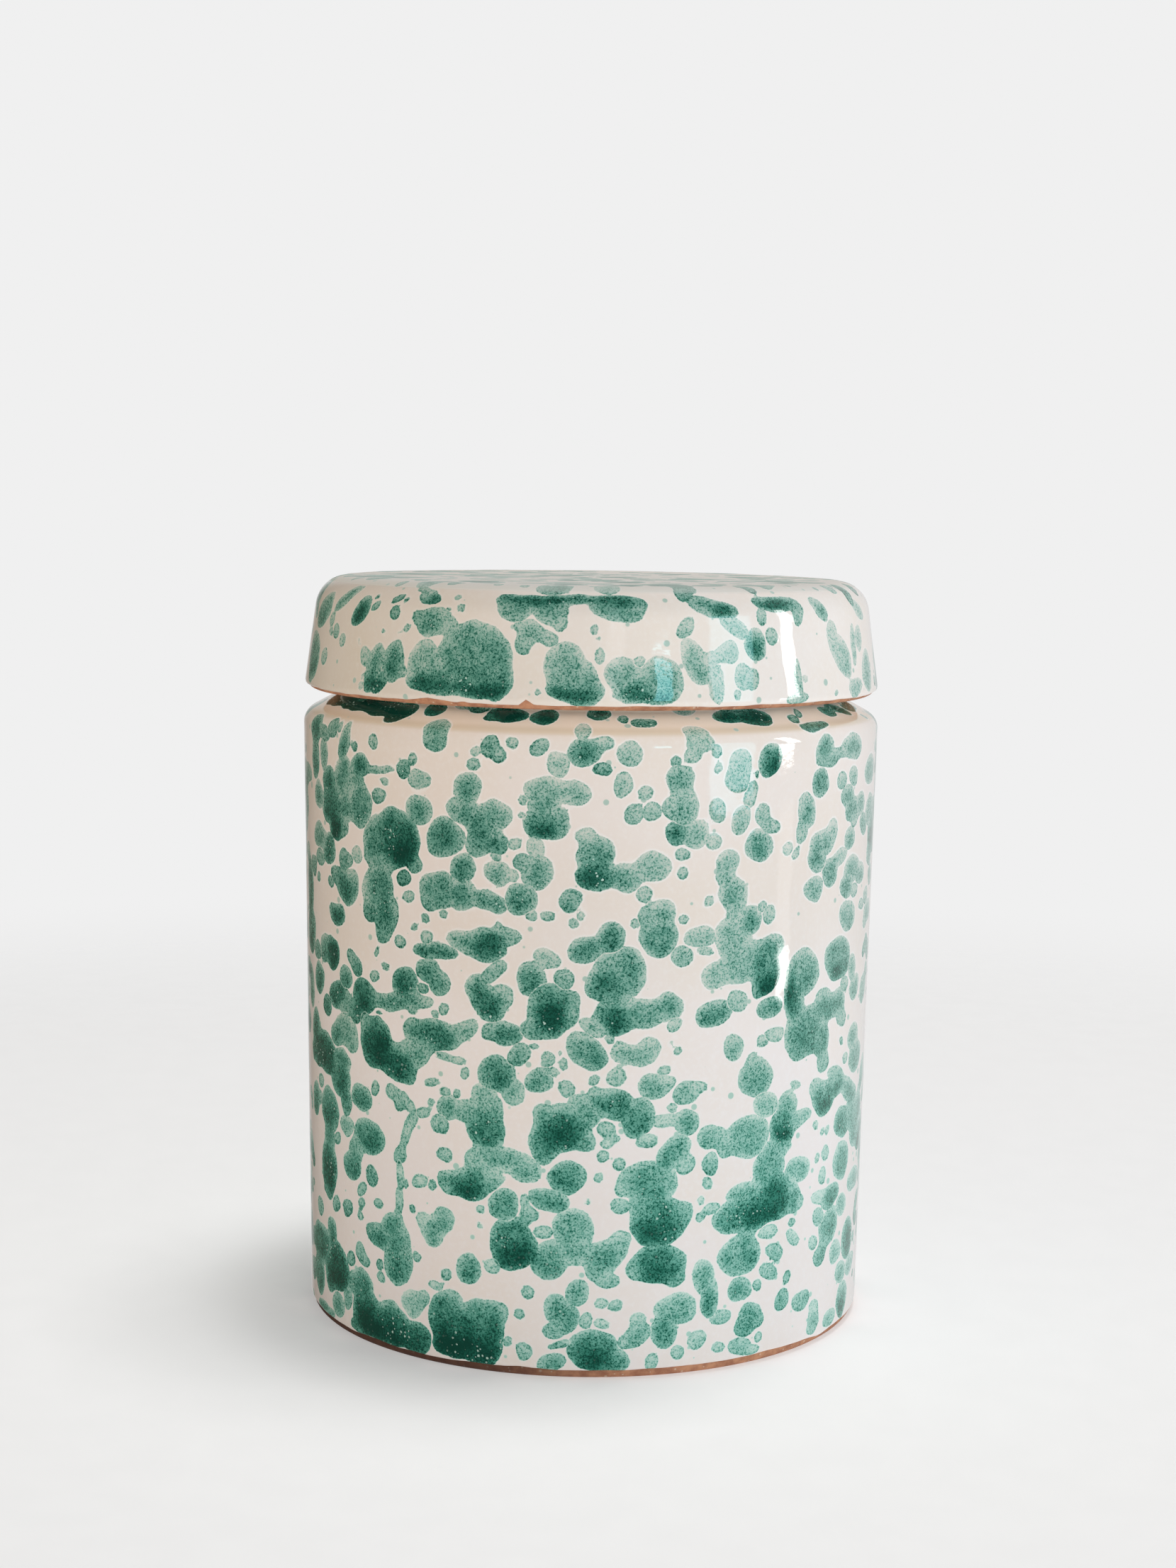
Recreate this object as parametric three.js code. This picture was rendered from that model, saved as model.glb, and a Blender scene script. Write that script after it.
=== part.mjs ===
// A lidded storage jar in glazed red earthenware. The body is a straight-sided pot with a short neck, and the
// lid is a flat-topped cap: its underside sits on the rim of the neck and its skirt hangs clear of the shoulder.
// Both are clay under a glaze coat that stops short of the foot and of the lid's rim, which stay bare.
// Millimetres, +Z up, origin under the middle of the foot. Sizes are those of the clay unless they say glazed.
import * as THREE from "three";

const SEGMENTS = 48; // facets round every revolved form
const GLAZE = 0.5; // thickness of the coat

// Jar: outside
const FOOT_RADIUS = 62.75; // wall at the bottom
const FOOT_ROUND = 1.6; // rounding between the wall and the foot's flat ring
const FOOT_GLAZE_ANGLE = -15; // where on that rounding the coat ends, in degrees from level
const RECESS_RADIUS = 53; // hollow under the foot
const RECESS_DEPTH = 1.5;
const RECESS_BEVEL = 2;
const WALL_TOP = 133.5; // height where the wall turns into the shoulder
const WALL_TOP_RADIUS = 64.75;
const SHOULDER_ROUND = 3.5;
const SHOULDER_PITCH = 28; // rise of the shoulder towards the neck, in degrees
const NECK_RADIUS = 56;
const NECK_FILLET = 1.6; // between the shoulder and the neck
const RIM_ROUND = 1.5; // both edges of the neck's rim

// Jar: thicknesses and inside
const BODY_WALL = 5;
const SHOULDER_WALL = 5;
const NECK_WALL = 4.5;
const FLOOR = 6.5; // height of the inside floor
const FLOOR_FILLET = 9;
const SHOULDER_INNER_FILLET = 5; // under the shoulder, at the wall
const NECK_INNER_ROUND = 3; // under the shoulder, at the neck

// Lid, measured from its own rim
const LID_RIM_HEIGHT = 141.25; // of the rim above the foot
const LID_HEIGHT = 24.75;
const LID_SEAT = 19; // depth of the glazed underside, which sits on the neck's glazed rim
const LID_RIM_RADIUS = 64.5; // the skirt flares from its top to its rim
const LID_TOP_RADIUS = 62.25;
const LID_TOP_ROUND = 6.75;
const LID_RIM_ROUND = 1.9; // outer edge of the rim
const LID_RIM_INNER_ROUND = 1.5;
const LID_GLAZE_ANGLE = -35; // where on the rim's roundings the coat ends, in degrees from level
const LID_BORE_RIM = 59; // inside radius at the rim
const LID_BORE_TOP = 57.75; // inside radius at the seat
const LID_SEAT_FILLET = 2.5;

const CLAY = { color: 0xb3714f, roughness: 0.85, metalness: 0 };
const JAR_GLAZE = { color: 0xe2dcd2, roughness: 0.15, metalness: 0 };
const LID_GLAZE = { color: 0xe2dcd2, roughness: 0.15, metalness: 0 };

const { degToRad, radToDeg } = THREE.MathUtils;
const point = (r, z) => new THREE.Vector2(r, z);

// Points along a circle in the profile plane, at angles in degrees from the outward direction.
function arc(centre, radius, from, to, steps) {
  const clockwise = to < from;
  const curve = new THREE.EllipseCurve(
    centre.x, centre.y, radius, radius, degToRad(from), degToRad(to), clockwise,
  );
  return curve.getPoints(steps);
}

// Revolves a closed profile about Z. A coat's profile runs backwards along the clay under it, so its quads are
// split on the other diagonal, and the coat and the clay then meet triangle on triangle.
function revolve(profile, isCoat = false) {
  const geometry = new THREE.LatheGeometry(profile, SEGMENTS);
  if (isCoat) {
    const { index } = geometry;
    for (let i = 0; i < index.count; i += 6) {
      const [a, b, d, c] = [0, 1, 2, 3].map((k) => index.getX(i + k));
      [a, b, c, a, c, d].forEach((vertex, k) => index.setX(i + k, vertex));
    }
  }
  return geometry.rotateX(Math.PI / 2);
}

// The closed profile of a coat, from the axis back to it: its free surface, and the clay's surface the other way.
function coatProfile(surface) {
  const free = surface(GLAZE);
  const clay = surface(0).reverse();
  return free[0].x === 0 ? [...free, ...clay] : [...clay, ...free];
}

// The slope of the shoulder: its outward normal, its direction towards the neck, and the end of its rounding.
const shoulderNormal = point(Math.sin(degToRad(SHOULDER_PITCH)), Math.cos(degToRad(SHOULDER_PITCH)));
const shoulderUp = point(-shoulderNormal.y, shoulderNormal.x);
const shoulderRoundCentre = point(WALL_TOP_RADIUS - SHOULDER_ROUND, WALL_TOP);
const shoulderStart = shoulderRoundCentre.clone().addScaledVector(shoulderNormal, SHOULDER_ROUND);
const shoulderAngle = 90 - SHOULDER_PITCH;

// The centre, at a given radius, of a circle that lies a given distance above the shoulder's slope.
function centreAtShoulder(radius, above) {
  const base = shoulderStart.clone().addScaledVector(shoulderNormal, above);
  return base.addScaledVector(shoulderUp, (radius - base.x) / shoulderUp.x);
}

const footCentre = point(FOOT_RADIUS - FOOT_ROUND, FOOT_ROUND);

// The jar's glazed surface at a given height over the clay: from the foot up the wall, over the shoulder, neck
// and rim, and down the inside to the middle of the floor.
function jarSurface(coat) {
  const rimTop = LID_RIM_HEIGHT + LID_SEAT - GLAZE;
  const neckInside = NECK_RADIUS - NECK_WALL;
  const neckRoot = centreAtShoulder(NECK_RADIUS + NECK_FILLET, NECK_FILLET);
  const rimOuter = point(NECK_RADIUS - RIM_ROUND, rimTop - RIM_ROUND);
  const rimInner = point(neckInside + RIM_ROUND, rimTop - RIM_ROUND);
  const throat = centreAtShoulder(neckInside + NECK_INNER_ROUND, NECK_INNER_ROUND - SHOULDER_WALL);
  const underShoulder = centreAtShoulder(
    WALL_TOP_RADIUS - BODY_WALL - SHOULDER_INNER_FILLET, -SHOULDER_INNER_FILLET - SHOULDER_WALL,
  );
  const floorCorner = point(FOOT_RADIUS - BODY_WALL - FLOOR_FILLET, FLOOR + FLOOR_FILLET);
  return [
    ...arc(footCentre, FOOT_ROUND + coat, FOOT_GLAZE_ANGLE, 0, 1),
    ...arc(shoulderRoundCentre, SHOULDER_ROUND + coat, 0, shoulderAngle, 4),
    ...arc(neckRoot, NECK_FILLET - coat, 180 + shoulderAngle, 180, 3),
    ...arc(rimOuter, RIM_ROUND + coat, 0, 90, 3),
    ...arc(rimInner, RIM_ROUND + coat, 90, 180, 3),
    ...arc(throat, NECK_INNER_ROUND + coat, 180, 180 + shoulderAngle, 3),
    ...arc(underShoulder, SHOULDER_INNER_FILLET - coat, shoulderAngle, 0, 3),
    ...arc(floorCorner, FLOOR_FILLET - coat, 0, -90, 4),
    point(0, FLOOR + coat),
  ];
}

// The bare underside of the jar: a shallow hollow inside a flat ring, and the rounding up to the coat.
function jarFoot() {
  return [
    point(0, RECESS_DEPTH),
    point(RECESS_RADIUS, RECESS_DEPTH),
    point(RECESS_RADIUS + RECESS_BEVEL, 0),
    ...arc(footCentre, FOOT_ROUND, -90, FOOT_GLAZE_ANGLE, 3).slice(0, -1),
  ];
}

const lidOuterRim = point(LID_RIM_RADIUS - LID_RIM_ROUND, LID_RIM_ROUND);
const lidInnerRim = point(LID_BORE_RIM + LID_RIM_INNER_ROUND, LID_RIM_INNER_ROUND);
const lidTopEdge = point(LID_TOP_RADIUS - LID_TOP_ROUND, LID_HEIGHT - LID_TOP_ROUND);

// The skirt touches the roundings at its rim and at its top: how far it leans inwards, in degrees.
const skirtRun = lidTopEdge.clone().sub(lidOuterRim);
const skirtLean = radToDeg(
  Math.atan2(-skirtRun.x, skirtRun.y) - Math.asin((LID_TOP_ROUND - LID_RIM_ROUND) / skirtRun.length()),
);

// The lid's outer glazed surface: up the skirt from the rim and in to the middle of the top.
function lidOutside(coat) {
  return [
    ...arc(lidOuterRim, LID_RIM_ROUND + coat, LID_GLAZE_ANGLE, skirtLean, 2),
    ...arc(lidTopEdge, LID_TOP_ROUND + coat, skirtLean, 90, 6),
    point(0, LID_HEIGHT + coat),
  ];
}

// The lid's inner glazed surface: from the middle of the underside out to the skirt and down to the rim.
function lidInside(coat) {
  const underside = LID_SEAT + GLAZE;
  const corner = point(LID_BORE_TOP - LID_SEAT_FILLET, underside - LID_SEAT_FILLET);
  return [
    point(0, underside - coat),
    ...arc(corner, LID_SEAT_FILLET - coat, 90, 0, 3),
    ...arc(lidInnerRim, LID_RIM_INNER_ROUND + coat, 180, 180 - LID_GLAZE_ANGLE, 2),
  ];
}

// The lid's bare rim, between its two coats: a flat ring with rounded edges.
function lidRim() {
  return [
    ...arc(lidInnerRim, LID_RIM_INNER_ROUND, 180 - LID_GLAZE_ANGLE, 270, 2).slice(1),
    ...arc(lidOuterRim, LID_RIM_ROUND, -90, LID_GLAZE_ANGLE, 2).slice(0, -1),
  ];
}

function piece(name, geometry, look) {
  const mesh = new THREE.Mesh(geometry, new THREE.MeshStandardMaterial(look));
  mesh.name = name;
  return mesh;
}

const jar = new THREE.Group();
jar.add(
  piece("jar_body", revolve([...jarFoot(), ...jarSurface(0)]), CLAY),
  piece("jar_glaze", revolve(coatProfile(jarSurface), true), JAR_GLAZE),
);

const lid = new THREE.Group();
lid.position.z = LID_RIM_HEIGHT;
lid.add(
  piece("lid_body", revolve([...lidInside(0), ...lidRim(), ...lidOutside(0)]), CLAY),
  piece("lid_outer_glaze", revolve(coatProfile(lidOutside), true), LID_GLAZE),
  piece("lid_inner_glaze", revolve(coatProfile(lidInside), true), LID_GLAZE),
);

const liddedJar = new THREE.Group();
liddedJar.add(jar, lid);

export default liddedJar;
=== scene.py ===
import math

import bpy
import numpy as np
from mathutils import Matrix


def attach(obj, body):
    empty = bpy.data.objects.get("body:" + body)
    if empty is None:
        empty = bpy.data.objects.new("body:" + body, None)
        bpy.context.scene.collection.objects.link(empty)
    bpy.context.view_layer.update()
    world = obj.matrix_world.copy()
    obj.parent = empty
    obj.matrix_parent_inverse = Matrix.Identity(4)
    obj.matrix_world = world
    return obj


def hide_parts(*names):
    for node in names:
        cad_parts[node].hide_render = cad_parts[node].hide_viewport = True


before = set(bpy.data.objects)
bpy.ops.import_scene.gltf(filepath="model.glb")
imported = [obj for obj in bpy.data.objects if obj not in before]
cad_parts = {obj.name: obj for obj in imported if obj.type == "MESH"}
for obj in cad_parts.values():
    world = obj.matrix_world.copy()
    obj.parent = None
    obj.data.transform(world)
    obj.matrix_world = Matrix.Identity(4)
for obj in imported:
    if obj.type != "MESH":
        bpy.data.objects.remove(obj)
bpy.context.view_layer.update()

MM = 0.001

# Clay and glaze, as in the CAD model
GLAZE = 0.5
FOOT_RADIUS = 62.75
FOOT_ROUND = 1.6
RECESS_RADIUS = 53.0
RECESS_DEPTH = 1.5
RECESS_BEVEL = 2.0
WALL_TOP = 133.5
WALL_TOP_RADIUS = 64.75
SHOULDER_ROUND = 3.5
SHOULDER_PITCH = 28.0
NECK_RADIUS = 56.0
NECK_FILLET = 1.6
RIM_ROUND = 1.5
BODY_WALL = 5.0
SHOULDER_WALL = 5.0
NECK_WALL = 4.5
FLOOR = 6.5
FLOOR_FILLET = 9.0
SHOULDER_INNER_FILLET = 5.0
NECK_INNER_ROUND = 3.0
LID_RIM_HEIGHT = 141.25
LID_HEIGHT = 24.75
LID_SEAT = 19.0
LID_RIM_RADIUS = 64.5
LID_TOP_RADIUS = 62.25
LID_TOP_ROUND = 6.75
LID_RIM_ROUND = 1.9
LID_RIM_INNER_ROUND = 1.5
LID_BORE_RIM = 59.0
LID_BORE_TOP = 57.75
LID_SEAT_FILLET = 2.5

# Fineness of the meshes: points in a ring, steps along a profile, and steps round an arc in degrees
FINE = 512
MIDDLE = 256
COARSE = 128
WALL_STEP = 1.08
NECK_STEP = 1.4
INSIDE_STEP = 6.0
HIDDEN_STEP = 99.0
ARC_STEP = 7.5
INSIDE_ARC_STEP = 15.0
# Gap between the back of a coat and the clay
BACK_GAP = 0.02
# Allowance for rounding errors
SLACK = 1e-6

# Girth on which the places of the splashes are given
GIRTH_RADIUS = 65.0
GIRTH = 2 * math.pi * GIRTH_RADIUS

# Splashes on the front of the jar: place round the girth from the front line, height along the profile, half
# width, half height, lean in degrees if there is one, and ink. They stand in bands, from the shoulder down.
JAR_SPLASHES = [
    (-76.8, 133.2, 3.8, 3.0, 1.5), (-71, 132.7, 3, 1.5, 1.2), (-67.1, 134.3, 2, 2, 1.2),
    (-71.3, 128.2, 2.2, 3.4, 1.1), (-77.4, 127.1, 2.9, 4.6, 1.4), (-64, 134.9, 1, 0.8, 0.8),
    (-61.6, 131.8, 4.2, 1.9, 65, 1.2), (-57.7, 131.1, 1.1, 1, 1.2), (-55.7, 127, 3.2, 2.7, 1.8),
    (-50.7, 133.2, 1.8, 1.5, 0.8), (-49.9, 126.8, 5.2, 0.8, 8, 0.9), (-41.8, 127.7, 2.2, 2, 1.4),
    (-39, 129.6, 1.4, 1.3, 0.9), (-37.7, 125.6, 2.6, 1.9, 0.9), (-47.7, 124.3, 1.1, 0.8, 0.6),
    (-33.8, 134.3, 2.7, 2.2, 1.3), (-24.3, 129.3, 1.4, 1.2, 0.9), (-25.7, 124.6, 2.9, 3, -20, 1.3),
    (-20.9, 133.2, 2, 2.2, 1.5), (-19, 131.4, 1.3, 1.7, 1.3), (-24, 132.1, 1.2, 1, 0.7),
    (-16.5, 134.2, 1, 1.1, 0.8), (-10.1, 133.7, 2.2, 1.6, 20, 1.2), (-6.5, 130.2, 2.1, 2.6, 0.8),
    (-1.2, 132.7, 3.8, 2.8, 1.6), (2.9, 134.9, 2.2, 1.3, 1.0), (7.9, 132.7, 2.4, 2.4, 1.0),
    (2.5, 129.2, 1.5, 1.2, 1.4), (6.6, 126, 2, 2.4, 0.9), (6.6, 128, 1.2, 0.9, 0.7),
    (11.3, 124.5, 1.6, 1.7, 0.8), (-8.6, 125, 4.9, 2.6, -5, 0.9), (-2.9, 124.3, 3, 2.5, 0.9),
    (17.9, 131, 1.1, 1.1, 1.0), (18.5, 127.4, 3, 2.7, 1.3), (23.2, 134.3, 3, 1.5, 0.8),
    (21.3, 132.1, 1.8, 1.3, 0.8), (26.8, 132.9, 1.3, 1.4, 0.8), (27.4, 129.4, 0.9, 0.9, 0.6),
    (32.4, 130.2, 2.1, 2.8, 0.8), (31.6, 126.8, 2.4, 2.7, 0.85), (35.2, 124.9, 1.3, 1.6, 0.9),
    (39.9, 130.4, 3.3, 3.6, 1.6), (36.1, 127.9, 0.6, 0.8, 1.2), (55.5, 124.6, 3.1, 3, 1.3),
    (56.9, 131.6, 3.4, 3.2, 1.2), (58.3, 129.3, 4.2, 1.3, 1.2), (62.4, 130.4, 3.5, 1, 0.9),
    (68.6, 131.6, 5, 2.6, -10, 1.0), (64.1, 124.6, 1.9, 1.8, 0.8), (69.7, 125.4, 2.6, 2, 0.8),
    (82.2, 125.7, 4.5, 3.4, 0.9), (-81, 142.6, 10, 2.6, 2.4), (-66, 142.4, 8, 2.6, 2.6),
    (-56, 142, 8, 2.8, 2.4), (-47.8, 141, 3.6, 3.6, 2.4), (-39, 143.2, 3, 2.4, 1.8),
    (-27.5, 144.4, 2, 1.6, 1.8), (-19.5, 142.8, 5, 2.8, 2.4), (-10.5, 142.6, 3.6, 3, 2.2),
    (-23, 140.8, 1.8, 1, 1.6), (1.8, 143.6, 2.8, 2.2, 1.5), (7.2, 142, 1, 1.4, 0.9),
    (11.6, 141, 2.7, 1.5, 1.1), (33, 142, 3.8, 2.2, 1.7), (40, 141.8, 5.2, 3, 2.0),
    (51.5, 140.2, 1.8, 1.2, 30, 1.0), (55, 142, 2.2, 0.9, 50, 0.9), (56, 137.2, 5.2, 1.1, 2.0),
    (68, 141.4, 3, 2, 1.2), (75, 141.8, 5, 2, -20, 1.4), (86, 142, 6, 2, 1.4), (-34.2, 137, 2.9, 2.6, 1.1),
    (-1.6, 137.6, 1.6, 2.4, 0.8), (22.5, 136.6, 2.6, 2.2, 0.8),

    (-75.2, 119.3, 2.6, 3.2, 1.0), (-68.8, 122.7, 3.2, 3, 1.7), (-67.7, 117.7, 5.5, 4.4, 1.6),
    (-62.1, 124.9, 3.2, 4, 1.2), (-58.2, 124, 3, 2, 1.0), (-55.7, 118.8, 3.8, 4.6, 1.2),
    (-61, 118.2, 3, 3, 1.1), (-65.2, 113.2, 3.8, 3, 2.0), (-62.1, 113.5, 2.2, 2.5, 1.0),
    (-49.6, 120.9, 2.1, 1.5, 10, 1.1), (-38.1, 119.2, 3.4, 2.8, 1.3), (-44.3, 112.7, 6.4, 6.3, 1.9),
    (-50.4, 112.1, 3.6, 5, 1.2), (-51, 108.2, 2.8, 1.8, 1.1), (-38.8, 107.7, 2.2, 2, 1.2),
    (-47.1, 107.1, 3, 1.8, 1.2), (-31.6, 114, 4.4, 4, 1.5), (-27.3, 119.9, 3.4, 2.6, 1.2),
    (-22.9, 117.1, 3.8, 4.2, 1.5), (-19.8, 119.3, 3.7, 2.8, 1.0), (-19.8, 113.8, 2.5, 2.4, 1.7),
    (-24, 112.7, 3.2, 2.5, 1.2), (-9.6, 121.8, 2.8, 3, 1.1), (-9.8, 117.4, 4.2, 3.3, 1.7),
    (-6.8, 118.2, 2.8, 3.2, 1.2), (-13.6, 122.8, 1.1, 1.1, 0.8), (-13.9, 119.3, 0.9, 0.8, 0.6),
    (-15.9, 113.5, 1.4, 1, 0.7), (-11.2, 112.4, 2.4, 1.6, -50, 0.6), (-14.3, 110.1, 1.8, 1.5, 1.3),
    (9.1, 119.9, 1.8, 2, 1.0), (12.9, 120.2, 2, 2.1, 1.0), (19.9, 122.1, 3.1, 3.8, 0.9),
    (17.1, 121.6, 2.2, 2.3, 1.0), (18.5, 116.3, 2.5, 2.9, 2.0), (22.4, 116, 2.9, 3.1, 0.8),
    (26.3, 114.1, 1.6, 1.6, 0.7), (27.1, 120.7, 1.4, 2.6, 0.8), (34.4, 122.7, 1.7, 1.8, 0.8),
    (32.7, 118.8, 2.4, 2.8, 0.8), (38.8, 119.3, 2.1, 2.3, 0.9), (40.8, 116.8, 2, 1.5, 0.9),
    (37.7, 112.9, 3.3, 3.3, 1.2), (45.2, 111.6, 1.7, 1.6, 0.7), (48.3, 110.2, 1.4, 1.1, 30, 0.7),
    (51.3, 118.8, 3, 3.3, 1.1), (50.2, 121.3, 1.8, 1.8, 0.8), (49.7, 114.9, 1.8, 2.6, 0.9),
    (67.2, 121.3, 3.2, 2.2, 1.1), (70.2, 118.5, 3.8, 2.3, 15, 1.2), (75.2, 118.8, 3, 2.8, 0.8),
    (77.7, 113.8, 2.6, 2.6, 1.0), (83, 116.6, 4, 3.4, 0.9), (69.1, 111.8, 2.7, 2.8, 1.0),
    (71.6, 115.4, 2, 1.4, 0.8), (57.2, 112.1, 4.2, 3, 0.9), (60.8, 114.3, 1.9, 2.6, 0.7),
    (55.5, 108.5, 2.7, 3.2, 30, 1.2),

    (-74.9, 109.9, 3.6, 3, 1.0), (-69.3, 107.7, 3.4, 3.6, 1.6), (-74.6, 104.9, 3, 1.6, 1.2),
    (-79.6, 103.2, 2.2, 2.2, 1.2), (-75.7, 100.7, 1.3, 1, 1.0), (-84, 97.7, 3, 7, 1.3),
    (-62.1, 106, 2.2, 2.2, 1.4), (-59.9, 106, 1.2, 1.2, 0.7), (-61.6, 100.4, 4.4, 3.4, -40, 1.6),
    (-58.8, 100.8, 2.6, 3.4, 0.9), (-65.4, 102.7, 2.6, 1.8, 1.5), (-68.2, 100.4, 1.4, 1, 1.0),
    (-56.8, 107.7, 2.2, 1.9, 0.7), (-65.2, 93.8, 3.8, 2.5, 1.6), (-41.6, 104.3, 1.8, 1.6, 1.5),
    (-49.3, 101.6, 4.6, 4.8, 1.3), (-52.1, 100.4, 2.6, 3.3, 0.7), (-47.4, 96.6, 3.6, 4.6, 1.5),
    (-52.7, 96, 2.2, 2.3, 1.5), (-48.2, 92.1, 2.4, 2.6, 1.2), (-44.6, 97.7, 1.3, 2.4, 1.0),
    (-40.4, 100.4, 1.5, 1, 0.9), (-36.1, 96.3, 1, 0.9, 0.9), (-31.6, 97.4, 1, 0.8, 0.9),
    (-39.1, 94.4, 0.9, 0.7, 0.7), (-43.2, 91, 1.4, 1.3, 0.9), (-32.9, 102.7, 4.6, 4.2, 1.3),
    (-34.6, 99.9, 2.2, 2, 1.2), (-27.1, 107.7, 3.2, 2.9, 1.5), (-27.1, 102.1, 3.4, 3.2, 1.4),
    (-20.7, 101, 4.2, 1.8, -12, 1.5), (-14, 102.4, 3.4, 3.3, 1.4), (-10.7, 107.7, 3.2, 3.2, 1.2),
    (-19.3, 107.1, 2.8, 2.7, 1.0), (-15.7, 107.1, 1.2, 1.2, 0.7), (-20.1, 110.7, 1.1, 1, 0.8),
    (-3.6, 102, 2.4, 2.3, 1.4), (-11.8, 98.8, 1, 1, 0.9), (-8.4, 98.8, 1.8, 1, -15, 0.8),
    (-2.8, 97.5, 1, 1, 0.8), (-1.2, 98.8, 0.6, 0.8, 0.6), (1.3, 112.1, 4.2, 3.8, 1.5),
    (1.3, 107.1, 3.9, 3.4, 1.9), (-1.2, 116, 1.8, 1.6, 0.7), (7.7, 107.1, 3.4, 2.7, 1.1),
    (13.2, 109.3, 3.9, 3, 0.9), (19.6, 111.4, 1.5, 1.3, 0.9), (19.2, 107.4, 1.1, 1, 0.9),
    (11.6, 103.8, 1.8, 1.4, 0.8), (15.2, 99.6, 2.8, 2.6, 1.0), (12.4, 99.1, 1.9, 2.2, 1.1),
    (14.9, 94.3, 4.4, 4, 1.3), (9.9, 97.4, 1, 1.1, 0.9), (20.2, 98.5, 1.3, 1, 0.8), (26, 101.6, 1, 1, 0.7),
    (24.1, 94.6, 3.2, 2.3, 0.9), (20.3, 90.6, 2.1, 2.2, 1.0), (24.9, 91.3, 1.6, 0.8, 0.6),
    (4.6, 94.3, 3.1, 3.1, 1.4), (-0.7, 92.1, 4, 2.6, 15, 1.5), (-21.2, 93.5, 4.6, 2.2, 1.7),
    (-16.8, 94.3, 2.7, 1.8, 1.2), (-25.7, 92.7, 5, 2.2, 1.0), (-18.6, 96.3, 0.9, 0.9, 0.8),
    (-21.4, 91, 4.2, 2.3, 1.7), (-8.7, 89.9, 2.7, 1.9, -20, 0.8), (30.2, 109.9, 3, 2.6, 0.9),
    (29.7, 107.1, 2.2, 2.2, 0.9), (31.6, 102.7, 3.2, 3.7, 1.0), (31.9, 98.2, 1.6, 2, 0.8),
    (35.8, 97.1, 3, 2.9, 1.2), (38.8, 99.6, 1.3, 1, 0.8), (41.1, 97.7, 1.9, 2, 0.9),
    (31.3, 93.8, 4.2, 4.2, 0.9), (37.2, 91.3, 2.6, 1.5, 1.0), (41.8, 91.2, 3.6, 2.4, 1.3),
    (60.1, 104.9, 3.1, 3.2, 1.3), (64.4, 107.9, 3.9, 1.8, 12, 0.7), (54.3, 102, 2.9, 2.8, 1.0),
    (71.3, 104.6, 4.2, 2.7, 0.9), (76.6, 103.2, 3.6, 2.4, 0.9), (68.3, 101, 3.2, 2.4, 1.1),
    (73, 99.9, 2, 1.3, 0.8), (69.9, 94.6, 4.4, 3.4, 0.9), (78.8, 95.7, 1.9, 1.2, 0.7),

    (-83.2, 87.7, 4, 5, 1.3), (-83.8, 74.9, 3, 5, 1.0), (-77.4, 83.8, 2.4, 1.9, 1.2),
    (-68.2, 84.9, 3.8, 3.6, 1.9), (-72.7, 85.4, 2.8, 3.2, 1.2), (-76.3, 78, 3.2, 3.6, 1.4),
    (-71.1, 72.6, 2.2, 2.2, 1.7), (-65.6, 76.2, 4.4, 2.8, 20, 1.9), (-61.8, 80.2, 2.6, 2.6, 1.4),
    (-61.9, 74.6, 3, 2.3, 0.9), (-57.4, 83.8, 2.8, 2, -50, 1.3), (-59.1, 85.7, 1.4, 1.4, 1.1),
    (-54.6, 77.3, 4.2, 4, 2.1), (-57.4, 73.4, 2.6, 2.3, 1.9), (-52.1, 77.7, 2, 2, 1.4),
    (-49.9, 87.7, 0.9, 0.8, 0.9), (-47.4, 85, 0.8, 0.7, 0.8), (-50.7, 82.7, 1.6, 1.2, 0.8),
    (-49.6, 74.4, 0.9, 0.5, 0.9), (-41.8, 82.4, 3.8, 3.4, 1.8), (-37.1, 81.8, 1.3, 1, 1.0),
    (-43.8, 77.7, 8, 2, 8, 1.2), (-37.1, 78.8, 2.5, 1.2, 0.8), (-39.1, 75.9, 1.2, 0.9, 0.8),
    (-33.8, 76.3, 1.3, 0.8, 0.8), (-31.6, 77.7, 1.3, 1.2, 0.8), (-33.8, 89.8, 5.8, 1.7, 1.5),
    (-35.7, 92.6, 1.8, 1.3, 0.9), (-35.7, 85.7, 2.8, 2.4, 1.4), (-32.9, 82.9, 2.6, 2.5, 1.2),
    (-33.5, 71.8, 5.8, 3.4, 1.8), (-39.3, 71.8, 2.5, 2.2, 1.2), (-35.7, 68.8, 2.2, 1.6, 1.4),
    (-39.3, 67.4, 4.5, 2.6, 0.9), (-30, 67.4, 3.6, 0.7, 0.7), (-20.1, 86.6, 3.3, 1.5, 38, 1.2),
    (-23.7, 82.7, 3, 3.2, 1.2), (-21.2, 79.3, 4, 3.3, -40, 1.5), (-18.4, 81.8, 2.2, 2.4, 1.1),
    (-12, 85.2, 3.6, 3.1, -40, 1.4), (-7.3, 79, 5, 5.6, 1.8), (-3.2, 81, 2, 2.2, 1.0),
    (-3.7, 77.7, 2.5, 2.5, 1.2), (-5.1, 86, 2, 2.1, 1.2), (-10.7, 75.2, 3.4, 2.2, 1.3),
    (-17, 73.8, 3.6, 2.6, 1.5), (-20.7, 73.8, 1.8, 1.6, 1.1), (-26.8, 73.8, 3.4, 1.8, 15, 0.9),
    (-14, 69.3, 2.8, 2.1, 60, 1.3), (-26.5, 64.6, 1, 1.3, 0.8), (-11, 71.3, 0.9, 0.6, 0.8),
    (-7.9, 68.9, 1.6, 1.6, 0.9), (-4.4, 68.2, 0.8, 1.2, 0.9), (-5.1, 70.3, 0.5, 0.6, 0.7),
    (0.4, 70.2, 4.6, 2.9, -40, 1.4), (-1.8, 73, 1.6, 1.2, 0.8), (1.3, 75.2, 2.8, 1.6, -35, 0.8),
    (5.2, 73.2, 1.1, 1, 0.8), (6.6, 87.1, 5.8, 5.2, 1.3), (2.9, 84.9, 3.3, 3.6, 1.3),
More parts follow.
